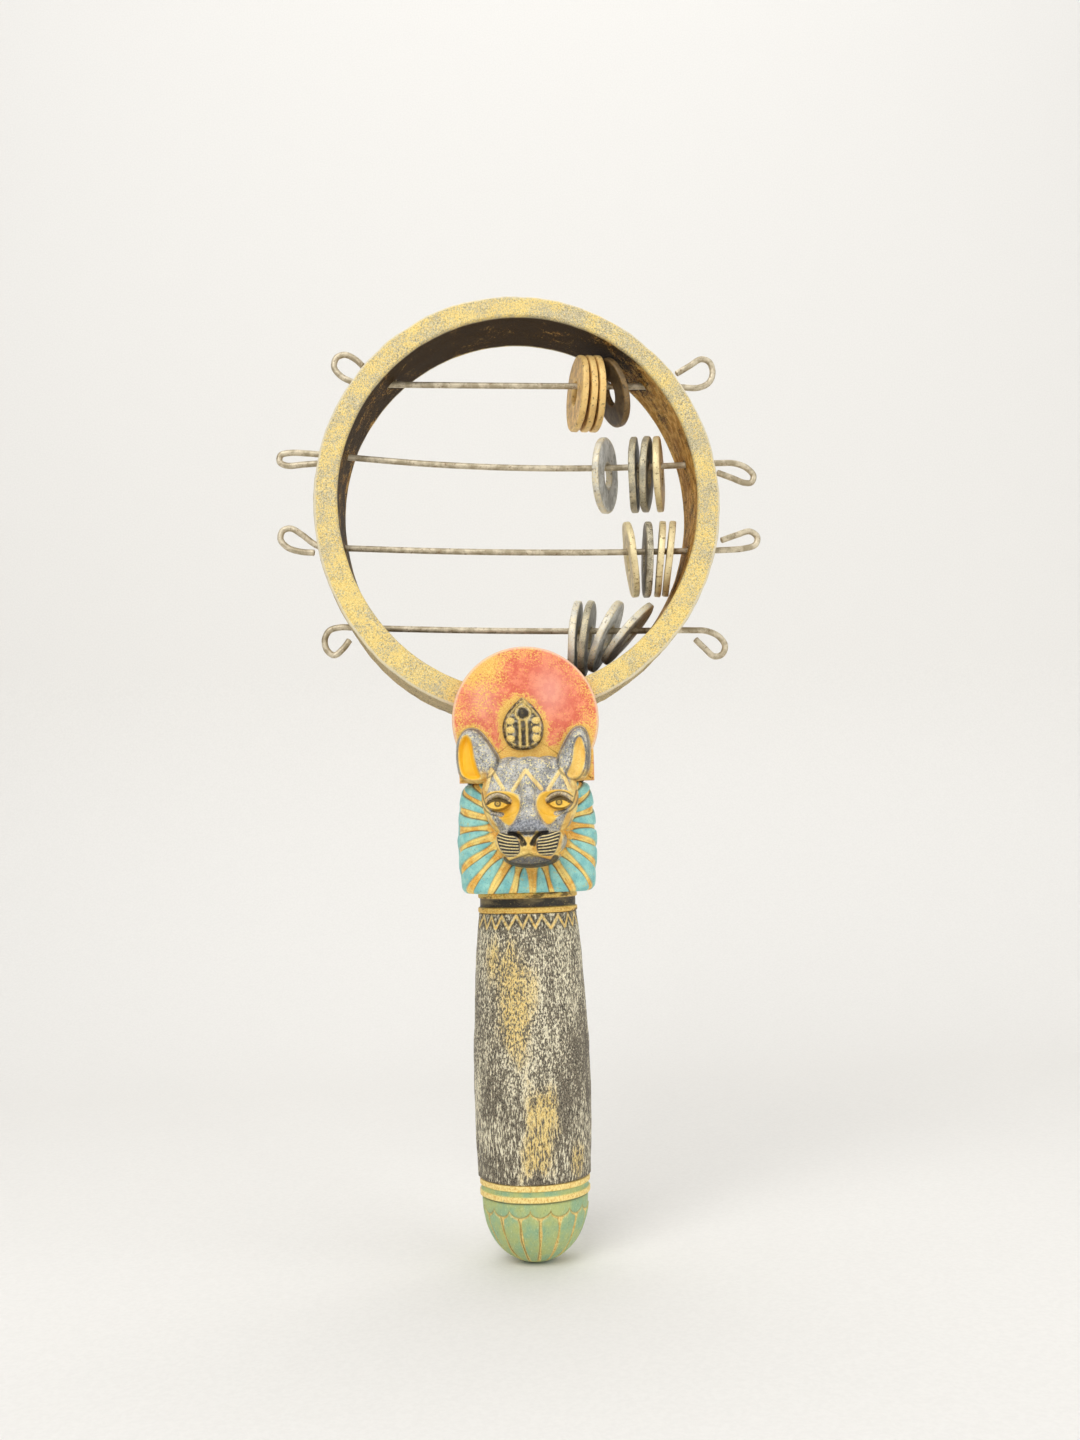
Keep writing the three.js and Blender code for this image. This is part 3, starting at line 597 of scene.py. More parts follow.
def bezier(points, count):
    a, b, c, d = (np.array(p, float) for p in points)
    t = np.linspace(0, 1, count)[:, None]
    return a * (1 - t) ** 3 + 3 * b * t * (1 - t) ** 2 + 3 * c * t * t * (1 - t) + d * t**3


def make_pommel():
    side = POMMEL_R - 0.6
    corners = [(0, 0), (0.5 * POMMEL_R, 0), (0.97 * POMMEL_R, 0.36 * BAND_FOOT), (side, BAND_FOOT)]
    bud = bezier(corners, 130 // COARSE)
    rise = [(side, z) for z in np.linspace(BAND_FOOT + 0.1, POMMEL_TOP - 0.15, 60 // COARSE)]
    profile = capped([tuple(p) for p in bud[1:]] + rise + [(side - 0.15, POMMEL_TOP)])
    rings, turn, z = oval_rings(profile, 720 // COARSE, lambda turn, z: pommel_forms(turn, z)[0])
    rings = rings + 0.06 * ripple(rings, 5, 31)[..., None] * [1, 1, 0]
    _, gold, dark = pommel_forms(turn, z)
    marks = {"gold": gold, "dark": dark}
    lofted("lotus_pommel", rings, marks, pommel_finish(), ["pommel"])


GRIP_FOOT, GRIP_TOP = 25.7, 105.2
ZIGZAGS = 21


def zigzag(turn, z):
    """Distance from the zigzag round the grip's neck, in mm."""
    share = turn * ZIGZAGS / (2 * math.pi)
    share = share + 0.10 * np.sin(3 * turn + 1) + 0.08 * np.sin(7 * turn)
    wave = np.abs(2 * (share % 1) - 1)
    level = 100.9 + 3.8 * wave + 0.25 * np.sin(5 * turn + 2)
    return np.abs(z - level) / math.hypot(1, 3.8 * 2 * ZIGZAGS / (2 * math.pi * 14.2))


def grip_relief(turn, z):
    place = np.stack([16 * np.sin(turn), -14 * np.cos(turn), z], -1)
    swell = 0.10 * ripple(place, 14, 41) + 0.05 * ripple(place * [1, 1, 0.35], 2.4, 42)
    return swell - 0.28 * bell(zigzag(turn, z), 0.42) - 0.5 * (1 - ease(z, GRIP_FOOT, GRIP_FOOT + 0.5))


def make_grip():
    widths = [(17.1, GRIP_FOOT), (18.0, 51.7), (16.95, 84.5), (15.2, GRIP_TOP)]
    # the CAD's own smooth curve through the four widths
    padded = [np.array(v) for v in [widths[0]] + widths + [widths[-1]]]
    t = np.linspace(0, 1, 40)[:, None]
    curve = np.concatenate([
        hermite(b, c, (c - a) / 2, (d - b) / 2, t)
        for a, b, c, d in zip(padded, padded[1:], padded[2:], padded[3:])
    ])
    levels = np.linspace(GRIP_FOOT, GRIP_TOP, 330 // COARSE)
    profile = list(zip(np.interp(levels, curve[:, 1], curve[:, 0]), levels))
    rings, turn, z = oval_rings(capped(profile), 540 // COARSE, grip_relief)
    line = zigzag(turn, z)
    x, front = rings[..., 0], rings[..., 1] < 0
    gilded = (-6.5, 90, 8, 11), (-6.5, 71, 7, 11), (2.5, 49, 6, 7), (0.5, 34, 6, 9), (12.5, 31, 3, 8)
    # spots where fewer pale flecks show, so the grip is darker there
    darker_spots = (13, 62, 5, 12), (8, 40, 2.6, 12), (-13, 30, 5, 4)
    warm, dark_tone = (np.clip(blobs(x, z, *spots) * front, 0, 1) for spots in (gilded, darker_spots))
    cream = blob(x, z, (9, 78, 6, 9)) * front
    worn = np.clip(0.78 + 0.2 * ripple(rings, 1.6, 43), 0, 1)
    marks = {
        "gold": near(line, 0.24, 0.26) * ease(z, 100.2, 100.8) * worn,
        "dark": 0.85 * bell(line - 0.72, 0.26) * ease(z, 99.6, 100.6),
        "warm": warm * 0.29 + 0.08,
        "pale": 0.03 * warm + 0.035 * cream - 0.04 * dark_tone - 0.03 * (1 - ease(z, 26, 29)),
        "low": 1 - ease(z, 36, 62),
    }
    lofted("carved_grip", rings, marks, grip_finish(), ["grip"])


COLLAR_FOOT, COLLAR_TOP = 105.4, 111.6


def collar_bands(z):
    low = plateau(z, COLLAR_FOOT - 2, COLLAR_FOOT + 1.7, 0.5)
    return low + plateau(z, COLLAR_TOP - 1.7, COLLAR_TOP + 2, 0.5)


def collar_relief(turn, z):
    place = np.stack([15 * np.sin(turn), -13 * np.cos(turn), z], -1)
    ends = 0.35 * (1 - ease(z, COLLAR_FOOT, COLLAR_FOOT + 0.4)) + 0.35 * ease(z, COLLAR_TOP - 0.4, COLLAR_TOP)
    return 0.6 * collar_bands(z) - 0.6 - ends + 0.07 * ripple(place, 4, 43)


def make_collar():
    levels = np.linspace(COLLAR_FOOT, COLLAR_TOP, 70 // COARSE)
    rings, _, z = oval_rings(capped([(15.5, v) for v in levels]), 480 // COARSE, collar_relief)
    marks = {"gold": np.clip(collar_bands(z), 0, 1)}
    lofted("banded_collar", rings, marks, collar_finish(), ["collar"])


# Mane: strands fan out round the muzzle, and turn into upright locks behind

MANE_FOOT, MANE_TOP = 111.8, 144.8
MANE_EDGE = 3.5
FAN_LEVEL = 131.8
FACE_X = 0.7  # the face is a little right of the handle's middle
FRONT = -20.9
# the strands' middles, in degrees from straight down, get closer together towards the ears
STRAND_TURNS = [9.7, 25.0, 42.0, 55.8, 68.6, 81.7, 94.7, 108.0, 119.0, 129.0]


def mane_plan(count):
    """Points, outward normals and signed run from the front's middle, along the mane's inset plan."""
    half, front, corner, back = 17.9, 17.4, 6.0, 13.5
    arc = np.linspace(0, math.pi / 2, count // 8, endpoint=False)
    middle = half - corner, corner - front
    parts = [
        [(x, -front, 0, -1) for x in np.linspace(0, half - corner, count // 8, endpoint=False)],
        [
            (middle[0] + corner * math.sin(a), middle[1] - corner * math.cos(a), math.sin(a), -math.cos(a))
            for a in arc
        ],
        [(half, y, 1, 0) for y in np.linspace(-front + corner, 0, count // 12, endpoint=False)],
    ]
    for a in quarter(count // 5):
        n = np.array([math.cos(a) / half, math.sin(a) / back])
        n /= np.linalg.norm(n)
        parts.append([(half * math.cos(a), back * math.sin(a), n[0], n[1])])
    right = np.array([p for part in parts for p in part])
    left = right[1:-1][::-1] * [-1, 1, -1, 1]
    plan = np.concatenate([right, left])
    wide = right[:, :2] + MANE_EDGE * right[:, 2:]
    run = np.concatenate([[0], np.cumsum(np.linalg.norm(np.diff(wide, axis=0), axis=1))])
    return plan, np.concatenate([run, -run[1:-1][::-1]])


def strands(run, z):
    """How far the strands stand out, and their gold and dark marks."""
    across = run - FACE_X  # the fan's middle is the face's middle
    angle = np.degrees(np.arctan2(np.abs(across), FAN_LEVEL - z))
    middles = [-STRAND_TURNS[0]] + STRAND_TURNS + [139.0, 149.0, 160.0, 171.0, 182.0]
    share = np.interp(angle, middles, np.arange(len(middles)) - 1.0)
    out = np.hypot(across, z - FAN_LEVEL)
    share = share + 0.05 * np.sin(0.31 * out + 2.3 * np.round(share) + (across < 0))
    behind = ease(np.abs(run), 31, 37)
    p = (share + 0.5) % 1 - 0.5
    pitch = out * math.radians(13.4)
    lock = (run / 5.2 + 0.04 * np.sin(z * 0.35)) % 1 - 0.5
    p = np.where(behind > 0.5, lock, p)
    pitch = np.where(behind > 0.5, 5.2, pitch)
    wide = np.interp(out, [12.4, 13.2, 14.6, 17, 22, 30], [0.03, 0.17, 0.26, 0.315, 0.345, 0.365])
    wide = np.where(behind > 0.5, 0.42, np.maximum(wide - 0.03 * (across < -4), 0.02))
    side = (wide - np.abs(p)) * pitch
    swell = cap((p / wide) ** 2)
    seam = np.abs(2 * behind - 1)  # both patterns die away where they meet
    stand = (0.40 * ease(side, -0.1, 0.30) + 0.32 * swell) * seam
    stand = stand + 0.12 * bell((0.5 - np.abs(p)) * pitch, 0.5) * seam
    gold = (1 - ease(side, -0.08, 0.14)) * seam
    # a painted shadow line along one side of each groove, and a fainter dark line down the groove's middle
    dark = 0.95 * bell(side + 0.05, 0.15) * np.where(p > 0, 1, 0.1) * seam * (out > 13)
    dark = dark + 0.25 * bell((0.5 - np.abs(p)) * pitch, 0.12) * (out > 13.5) * seam * (behind < 0.5)
    return stand, gold, np.clip(dark, 0, 0.95)


def make_mane():
    plan, run = mane_plan(760 // COARSE)
    curl = 2.2  # how far the edges at the foot and the top are rounded
    bow = quarter(12)
    upright = np.linspace(MANE_FOOT + curl, MANE_TOP - curl, 150 // COARSE)[1:-1]
    levels = [(MANE_EDGE - curl * (1 - math.sin(a)), MANE_FOOT + curl * (1 - math.cos(a))) for a in bow]
    levels += [(MANE_EDGE, z) for z in upright]
    levels += [(MANE_EDGE - curl * (1 - math.cos(a)), MANE_TOP - curl * (1 - math.sin(a))) for a in bow]
    rings, gold, dark = [], [], []
    for grow, z in levels:
        stand, g, d = strands(run, np.full(len(run), z))
        fade = 0.35 + 0.65 * grow / MANE_EDGE
        place = plan[:, :2] + (grow + (stand - 0.72) * fade)[:, None] * plan[:, 2:]
        place[:, 0] *= np.interp(z, [MANE_FOOT, 120, 128, 138, MANE_TOP], [0.94, 0.985, 1.0, 0.97, 0.91])
        rings.append(np.column_stack([place, np.full(len(run), z)]))
        gold.append(g)
        dark.append(d)
    # Each end has three smaller rings in its plane. At the top they come before the last full ring.
    for k in (0.8, 0.625, 0.4):
        for where, at in ((0, 0), (len(rings), -1)):
            rings.insert(where, rings[at] * [k, k, 1])
            gold.insert(where, gold[at])
            dark.insert(where, dark[at] * 0)
    rings = np.array(rings)
    rings += 0.05 * ripple(rings, 6, 51)[..., None] * [1, 1, 0]
    marks = {"gold": np.array(gold), "dark": np.array(dark)}
    lofted("striped_mane", rings, marks, mane_finish(), ["mane"])


# Head: a relief over the mane and the sun disc, that stands forward of FACE_BACK

FACE_BACK = -21.1
FACE_SINK = 1.2  # how deep it goes behind that
FACE_TURN = 0.12  # how far each millimetre forwards is moved to the left, where the face looks

# the two ears differ: outline and hollow, with x away from the face's middle
LEFT_EAR = [
    (19.9, 145.6), (21.2, 149.5), (21.4, 154.5), (20.8, 158.2), (18.8, 160.9), (16.0, 161.1), (13.5, 159.2),
    (11.2, 155.6), (8.6, 151.6), (9.6, 147.2), (13.4, 145.0),
]
LEFT_HOLLOW = [
    (13.6, 146.2), (15.0, 148.6), (16.0, 152.6), (16.5, 157.2), (17.9, 159.2), (19.7, 158.4), (20.9, 154.5),
    (20.8, 149.8), (19.6, 146.2), (16.2, 145.2),
]
RIGHT_EAR = [
    (17.0, 145.6), (18.0, 149.5), (18.3, 154.5), (17.9, 158.2), (16.6, 160.9), (14.6, 161.1), (12.4, 159.2),
    (10.4, 155.6), (8.4, 151.6), (9.0, 147.2), (12.6, 145.0),
]
RIGHT_HOLLOW = [
    (10.8, 145.8), (13.2, 149.7), (13.9, 155.5), (15.6, 158.2), (16.9, 155.0), (17.0, 149.7), (14.9, 145.3),
]
SOCKET = [
    (13.2, 140.6), (11.6, 141.9), (8.0, 142.1), (4.6, 141.6), (2.7, 140.4), (2.2, 137.2), (3.6, 134.0),
    (5.4, 131.6), (7.2, 132.4), (8.6, 134.4), (11.2, 135.4), (12.8, 137.2),
]
UPPER_LID = [(12.6, 138.0), (11.2, 139.1), (9.2, 139.6), (7.2, 139.1), (5.6, 138.2)]
LOWER_LID = [(12.6, 138.0), (11.2, 136.9), (9.2, 136.5), (7.2, 136.9), (5.6, 138.2)]
LID_FOLD = [(12.4, 139.4), (11.0, 140.5), (9.0, 140.9), (7.0, 140.3), (5.6, 139.0)]
EYE = UPPER_LID + LOWER_LID[::-1][1:-1]
EYE_EDGE = [(14.4, 141.4), (13.9, 139.2), (12.9, 137.0), (10.9, 135.5), (8.0, 135.1)]
CHEEK_LINE = [(12.9, 136.6), (10.9, 132.6), (9.5, 129.9), (8.9, 126.6), (8.1, 123.6), (6.6, 121.6)]
NOSTRIL = [(5.4, 129.6), (3.8, 129.3), (2.6, 128.7), (1.6, 127.6), (1.0, 126.4)]
NOSTRIL_RIM = [(2.7, 129.5), (1.4, 127.8), (0.2, 125.6)]
PAD = [
    (9.3, 130.0), (8.9, 127.4), (8.0, 124.6), (6.6, 122.9), (4.2, 122.9), (2.8, 123.7), (2.3, 126.2),
    (3.4, 128.2), (5.8, 129.3),
]
CHIN_LINE = [(7.4, 122.2), (6.4, 120.9), (3.6, 120.2), (0, 119.9)]
CHEVRONS = [
    [(-12.6, 142.6), (-10.9, 148.5), (-7.3, 142.6)],
    [(-4.5, 142.1), (-0.6, 147.9), (3.9, 142.3)],
    [(5.8, 142.0), (9.7, 148.0), (12.2, 142.0)],
]

def bent_distance(x, z, line):
    return line_distance(x, z, bent(line))


def nearest(x, z, lines):
    return np.min([line_distance(x, z, line) for line in lines], axis=0)



def ear_depths(x, z):
    """Distance inside the ears' outlines and inside their hollows."""
    ax = np.abs(x)
    left, left_bowl, right, right_bowl = (
        depth_inside(ax, z, rounded(line)) for line in (LEFT_EAR, LEFT_HOLLOW, RIGHT_EAR, RIGHT_HOLLOW)
    )
    return np.where(x < 0, left, right), np.where(x < 0, left_bowl, right_bowl)


def whiskers():
    """Eight lines across each whisker pad, rising outwards."""
    for k in range(8):
        z, end, rise = 123.3 + 0.84 * k, 7.6 + 0.26 * k, 0.15 + 0.22 * k
        yield bent([(2.9, z), (2.9 + 0.5 * (end - 2.9), z + 0.05 * k), (end, z + rise)], 2)


def dome(x, z, half_width, half_height, out, level, forward, bulge, tilt=0.0):
    """Height of a swelling form, which falls off steeply outside its outline."""
    c, s = math.cos(tilt), math.sin(tilt)
    dx, dz = x - out, z - level
    rho = np.hypot((c * dx + s * dz) / half_width, (c * dz - s * dx) / half_height)
    fall = 14 * np.clip(rho - 1, 0, None) * min(half_width, half_height)
    return forward + bulge * cap(rho**2) - fall


def blend_max(a, b, soft):
    h = np.clip(soft - np.abs(a - b), 0, None) / soft
    return np.maximum(a, b) + h * h * soft / 4


def blend_min(a, b, soft):
    return -blend_max(-a, -b, soft)


def nose_width(z):
    levels = [127.6, 128.6, 129.4, 130.8, 132.4, 136, 139.6, 143, 147, 151]
    return np.interp(z, levels, [3.4, 5.2, 5.8, 5.6, 4.15, 2.4, 1.95, 2.2, 2.9, 2.6])


def nose_form(x, z):
    levels = [128.6, 129.4, 130.3, 131.6, 134, 138, 143, 147, 151]
    top = np.interp(z, levels, [9.5, 12.6, 14.0, 14.4, 13.4, 11.8, 9.6, 7.8, 5.8])
    over = np.abs(x) - nose_width(z)
    share = np.abs(x) / nose_width(z)
    ends = 6 * np.clip(128.6 - z, 0, None) + 2 * np.clip(z - 149, 0, None)
    return top - 1.7 * share**2.6 - 4.2 * np.clip(over, 0, None) - ends


def head_height(x, z):
    ax = np.abs(x)
    cheek = ax / np.interp(z, [124, 130, 134], [0.90, 0.88, 1.0])
    height = dome(ax, z, 9.1, 12.0, 5.4, 140.5, 0, 7.6)  # brow
    for form, soft in (
        (dome(cheek, z, 11.4, 11.6, 0.3, 133.2, 0, 9.6), 2.4),
        (dome(ax, z, 3.0, 3.0, 8.8, 134.4, 4.6, 3.4), 2.0),  # cheekbone
        (dome(x, z, 7.4, 5.6, 0, 127.4, 5.4, 7.0), 2.4),  # muzzle
        (dome(x, z, 7.0, 4.0, 0, 148.2, 3.4, 3.6), 2.6),  # forehead
        (nose_form(x, z), 1.0),
        (dome(ax, z, 5.0, 3.9, 5.0, 126.7, 8.2, 5.4, 0.30), 0.7),  # whisker pad
        (dome(x, z, 7.4, 2.9, 0, 122.6, 6.6, 5.0), 0.8),  # chin
    ):
        height = blend_max(height, form, soft)
    # eye socket, eyeball and lids
    within = depth_inside(ax, z, rounded(SOCKET))
    hollow = 8.6 - 3.2 * cap(((ax - 8.4) / 5.8) ** 2 + ((z - 137.8) / 3.8) ** 2)
    hollow = np.where(within > -0.6, hollow + 3 * np.clip(0.3 - within, 0, 1), 99)
    height = np.where(within > -0.6, blend_min(height, hollow, 1.2), height)
    eye = depth_inside(ax, z, rounded(EYE, 2))
    ball = 5.9 + 1.9 * cap(((ax - 9.1) / 4.0) ** 2 + ((z - 138.0) / 2.4) ** 2)
    height = np.where(eye > -0.2, blend_max(height, ball - 2 * np.clip(0.2 - eye, 0, 1), 0.4), height)
    height = height + 0.55 * bell(bent_distance(ax, z, UPPER_LID), 0.36)
    height = height + 0.5 * bell(bent_distance(ax, z, LOWER_LID) + 0.1, 0.4)
    height = height + 0.9 * bell(bent_distance(ax, z, LID_FOLD), 0.75)
    edge = bent_distance(ax, z, EYE_EDGE)
    height = height + 0.25 * bell(edge, 0.5) - 0.12 * bell(edge - 0.8, 0.3)
    # nostrils, the groove under them and the mouth
    height = height - 0.6 * bell(bent_distance(ax, z, NOSTRIL) - 0.05, 0.5)
    height = height + 0.35 * bell(bent_distance(ax, z, NOSTRIL_RIM), 0.35)
    height = height - 0.6 * bell(x, 0.35) * plateau(z, 125.2, 128.6, 0.6)
    height = height - 0.7 * bell(z - 123.6 + 0.32 * ax, 0.35) * (1 - ease(ax, 6.6, 7.6))
    pad = ease(depth_inside(ax, z, rounded(PAD, 2)), 0.0, 0.4)
    for line in whiskers():
        height = height + 0.34 * bell(line_distance(ax, z, line), 0.16) * pad
    height = height - 0.35 * pad
    for line in CHEVRONS:
        height = height + 0.28 * bell(line_distance(x, z, line), 0.34)
    ear, bowl = ear_depths(x, z)
    lobe = 1.4 + 3.9 * cap((1 - np.clip(ear / 3.2, 0, 1)) ** 2)
    lobe = lobe - 4 * np.clip(-ear, 0, None) - np.where(x < 0, 2.9, 2.0) * ease(bowl, -0.35, 1.5)
    height = blend_max(height, lobe, 0.9)
    place = np.stack([x, np.zeros_like(x), z], -1)
    return height + 0.05 * ripple(place, 3.0, 61) * (height > 0)


def head_marks(x, z):
    ax = np.abs(x)
    ear, bowl = ear_depths(x, z)
    socket, eye, pad = (
        depth_inside(ax, z, rounded(line, rounds)) for line, rounds in ((SOCKET, 3), (EYE, 2), (PAD, 2))
    )
    fold, edge, nostril, rim, cheek, chin_line, upper, lower = (
        bent_distance(ax, z, line)
        for line in (LID_FOLD, EYE_EDGE, NOSTRIL, NOSTRIL_RIM, CHEEK_LINE, CHIN_LINE, UPPER_LID, LOWER_LID)
    )
    beside = ease(ax - nose_width(z), -0.25, 0.25)
    folded = near(fold, 0.55, 0.4) * (eye < -0.2)
    lip = z - 124.1 + 0.32 * ax
    inside_pad = ease(pad, -0.35, 0.1)
    hair = near(nearest(ax, z, whiskers()), 0.09, 0.14) * inside_pad
    chevron = nearest(x, z, CHEVRONS)
    chin = plateau(z, 119.4, 123.0, 0.5) * (lip < -0.6) * near(ax, 7.0, 0.6)
    iris = np.hypot(ax - 9.0, z - 138.3)
    tip = beside < 0.5
    amber = np.maximum(
        ease(bowl, 0.0, 0.7) * np.where(x < 0, 1.0, 0.7), 0.6 * ease(socket, -0.1, 0.5) * beside
    )
    cream = strongest(
        ease(bowl, 0.0, 0.6) * np.where(x < 0, 0.0, 0.4), 0.7 * near(chevron, 0.32, 0.3), hair
    )
    gold = strongest(
        ease(bowl, -0.3, 0.15),
        ease(socket, -0.3, 0.25) * beside * (1 - 0.75 * folded) * (1 - near(edge, 0.5, 0.4)),
        near(cheek, 0.4, 0.7) * 0.95,
        near(rim, 0.35, 0.4),
        0.95 * near(ax, 2.2, 1.4) * plateau(z, 122.6, 128.4, 0.8),
        0.95 * near(np.abs(lip), 0.45, 0.3) * near(ax, 7.0, 0.8),
        near(chevron, 0.40, 0.28),
        0.85 * (1 - ease(z, 146.6, 149)) * ease(ax, 11.5, 13),  # under the ears
    ) * (1 - inside_pad) + hair
    dark = strongest(
        0.97 * inside_pad * (1 - hair),
        near(nostril, 0.45, 0.4) * (z < 130),
        0.9 * near(np.hypot((ax - 1.7) / 0.8, (z - 127.0) / 1.5), 0.8, 0.3),
        # painted shade along the mouth's groove
        0.75 * near(np.abs(lip + 0.75), 0.16, 0.3) * near(ax, 6.8, 0.8),
        0.75 * chin,
        0.95 * near(chin_line, 0.55, 0.4),
        0.9 * near(upper - 0.25, 0.16, 0.2) * (z > 138.0),
        0.5 * near(lower - 0.3, 0.1, 0.2) * (eye < 0.1),
        0.75 * near(np.abs(fold - 0.75), 0.08, 0.2) * (z > 139.8) * near(ax, 13, 0.4),
        0.85 * near(np.abs(iris - 0.75), 0.18, 0.2) * (eye > 0),
        0.6 * near(iris, 0.25, 0.2),
        0.6 * near(np.abs(edge - 0.5), 0.10, 0.25) * (eye < -0.3) * ease(ax, 8.5, 10.5),
        0.55 * near(np.abs(ear - 0.15), 0.15, 0.35) * (z > 146),
        0.5 * near(np.abs(bowl + 0.45), 0.12, 0.25) * (x > 0),
        0.8 * tip * near(np.abs(z - 129.3 - 0.05 * ax), 0.3, 0.4),
    )
    dark = np.clip(dark, 0, 0.97) * (1 - 0.8 * ease(bowl, 0, 0.6))
    slate = 0.85 * tip * plateau(z, 129.0, 133.4, 0.8)
    return {"gold": np.clip(gold, 0, 1), "dark": dark, "amber": amber, "cream": cream, "slate": slate}


def relief_solid(height, back, spans, step):
    """Surface net round a relief: height(x, z) stands forward of a plane, and back is how deep it goes."""
    (x0, x1), top, (z0, z1) = spans
    xs, ds, zs = np.arange(x0, x1, step), np.arange(-back - 2 * step, top, step), np.arange(z0, z1, step)
    grid_x, grid_z = np.meshgrid(xs, zs, indexing="ij")
    high = np.clip(height(grid_x, grid_z), -back - 3 * step, None).astype(np.float32)
    ahead = high[:, None, :] - ds[None, :, None].astype(np.float32)
    behind = (ds + back)[None, :, None].astype(np.float32)
    return surface_net(np.minimum(ahead, behind), (xs[0], ds[0], zs[0]), step)


def make_head():
    spans = ((-22.6, 22.6), 17.0, (117.0, 163.0))
    points, faces = relief_solid(head_height, FACE_SINK, spans, 0.15 * COARSE)
    x, out, z = points.T
    turned = x - FACE_TURN * np.clip(out, 0, None)
    placed = np.column_stack([FACE_X + turned, FACE_BACK - out, z])
    piece("lioness_face", (placed, faces), head_finish(), ["lioness_head"], marks=head_marks(x, z))


# Sun disc and its ornament

SUN_MIDDLE, SUN_R, SUN_HALF = 163.8, 22.2, 20.3
SUN_FOOT = 145.0
SUN_BACK = -15.7


def sun_outline(count):
    turn = math.acos(SUN_HALF / SUN_R)
    round_top = np.linspace(-turn, math.pi + turn, count)
    arc = [(SUN_R * math.cos(a), SUN_MIDDLE + SUN_R * math.sin(a)) for a in round_top]
    side = np.linspace(SUN_FOOT, arc[0][1], 24, endpoint=False)
    foot = [(x, SUN_FOOT) for x in np.linspace(-SUN_HALF, SUN_HALF, 60, endpoint=False)]
    return np.array([(SUN_HALF, z) for z in side] + arc + [(-SUN_HALF, z) for z in side[::-1]] + foot[1:])


def make_sun():
    outline = sun_outline(360 // COARSE)
    way = np.roll(outline, -1, 0) - np.roll(outline, 1, 0)
    normal = np.column_stack([way[:, 1], -way[:, 0]]) / np.linalg.norm(way, axis=1)[:, None]
    middle = np.array([0, 160.0])
    round_front, round_back, rise = 1.1, 0.8, 0.35
    # inset, share of the way from the middle, and depth
    shares = np.linspace(0.04, 0.97, 60 // COARSE)
    levels = [(round_front, share, FRONT + rise * share**3) for share in shares]
    levels += [
        (round_front * (1 - math.sin(a)), 1, FRONT + rise + round_front * (1 - math.cos(a)))
        for a in quarter(9)
    ]
    levels += [
        (round_back * (1 - math.cos(a)), 1, SUN_BACK - round_back * (1 - math.sin(a)))
        for a in quarter(7)
    ]
    levels += [(round_back, share, SUN_BACK) for share in np.linspace(0.95, 0.05, 16)]
    rings = []
    for inset, share, y in levels:
        flat = middle + (outline - inset * normal - middle) * share
        rings.append(np.column_stack([flat[:, 0], np.full(len(flat), y), flat[:, 1]]))
    rings = np.array(rings)
    rings[..., 1] += 0.07 * ripple(rings, 7, 71)
    x, y, z = (rings[..., i] for i in range(3))
    ear = ear_depths(x - FACE_X, z)[0]
    out = np.hypot(x, z - SUN_MIDDLE)
    brow = np.hypot((x - FACE_X) / 12, (z - 144) / 10)
    badge = np.hypot((x - ORNAMENT_X) / 6.6, (z - ORNAMENT_Z) / 8.6)
    gilt = 0.36 * (1 - ease(brow, 0.90, 1.45)) + 0.20 * bell(np.clip(-ear, 0, None), 1.3)
    gilt = gilt + 0.20 * (1 - ease(badge, 0.95, 1.35)) + 0.07 * ease(out, 15, 21)
    gilt = gilt + 0.02 + 0.10 * blob(x, z, (-12, 178, 8, 8)) - 0.10 * blob(x, z, (5, 172, 9, 9))
    behind = ease(y, FRONT + 1.5, FRONT + 2.5)
    marks = {
        "gilt": gilt * (1 - behind) + 0.02 * behind,
        "edge": 0.75 * bell(out - (SUN_R - 0.35), 0.4) * (z > 154) * (1 - behind),
        "dark": 0.5 * near(np.abs(ear + 0.35), 0.12, 0.3) * (1 - behind),
        # pale: two painted highlights, right of the middle and on the left
        "pale": 0.42 * blob(x, z, (7.5, 172, 5, 7)) + 0.35 * blob(x, z, (-13, 170, 4, 6)),
    }
    lofted("sun_plate", rings, marks, sun_finish(), ["sun_disc"])


ORNAMENT_X, ORNAMENT_Z = -0.9, 162.2
ORNAMENT = [
    (0, 8.4), (1.4, 7.1), (3.2, 5.5), (5.2, 2.9), (6.3, -0.2), (6.1, -3.4), (4.8, -6.2), (2.6, -7.7),
    (0, -7.9),
]
BEADS = (0.9, -1.8, -4.4)  # heights of the beads on both sides
BEAD_OUT = 3.9
KNOB_UP = 3.2


def ornament_places(x, z):
    """Distance from the ornament's middle line, height on it, distance inside it and from its knob."""
    u, v = x - ORNAMENT_X, z - ORNAMENT_Z
    edge = depth_inside(u, v, rounded(ORNAMENT + mirrored(ORNAMENT[1:-1])[::-1], 2))
    return u, v, edge, np.hypot(u, v - KNOB_UP)


def ornament_height(x, z):
    u, v, edge, knob = ornament_places(x, z)
    au = np.abs(u)
    height = 2.75 * cap((1 - np.clip(edge / 2.1, 0, 1)) ** 2)
    height = height - 5 * np.clip(-edge, 0, None) - 0.9 * ease(edge, 0.9, 1.6)
    ball = 1.1 + 1.7 * cap((knob / 1.9) ** 2) - 4 * np.clip(knob - 1.9, 0, None)
    height = blend_max(height, ball, 0.3)
    for at in (0.0, 2.1):
        height = height + 0.75 * bell(au - at, 0.62) * plateau(v, -6.6, 0.9 - 0.5 * at, 0.8)
    for level in BEADS:
        height = height + 0.6 * blob(au, v, (BEAD_OUT, level, 1.2, 0.9)) * (edge > 0.6)
    return height


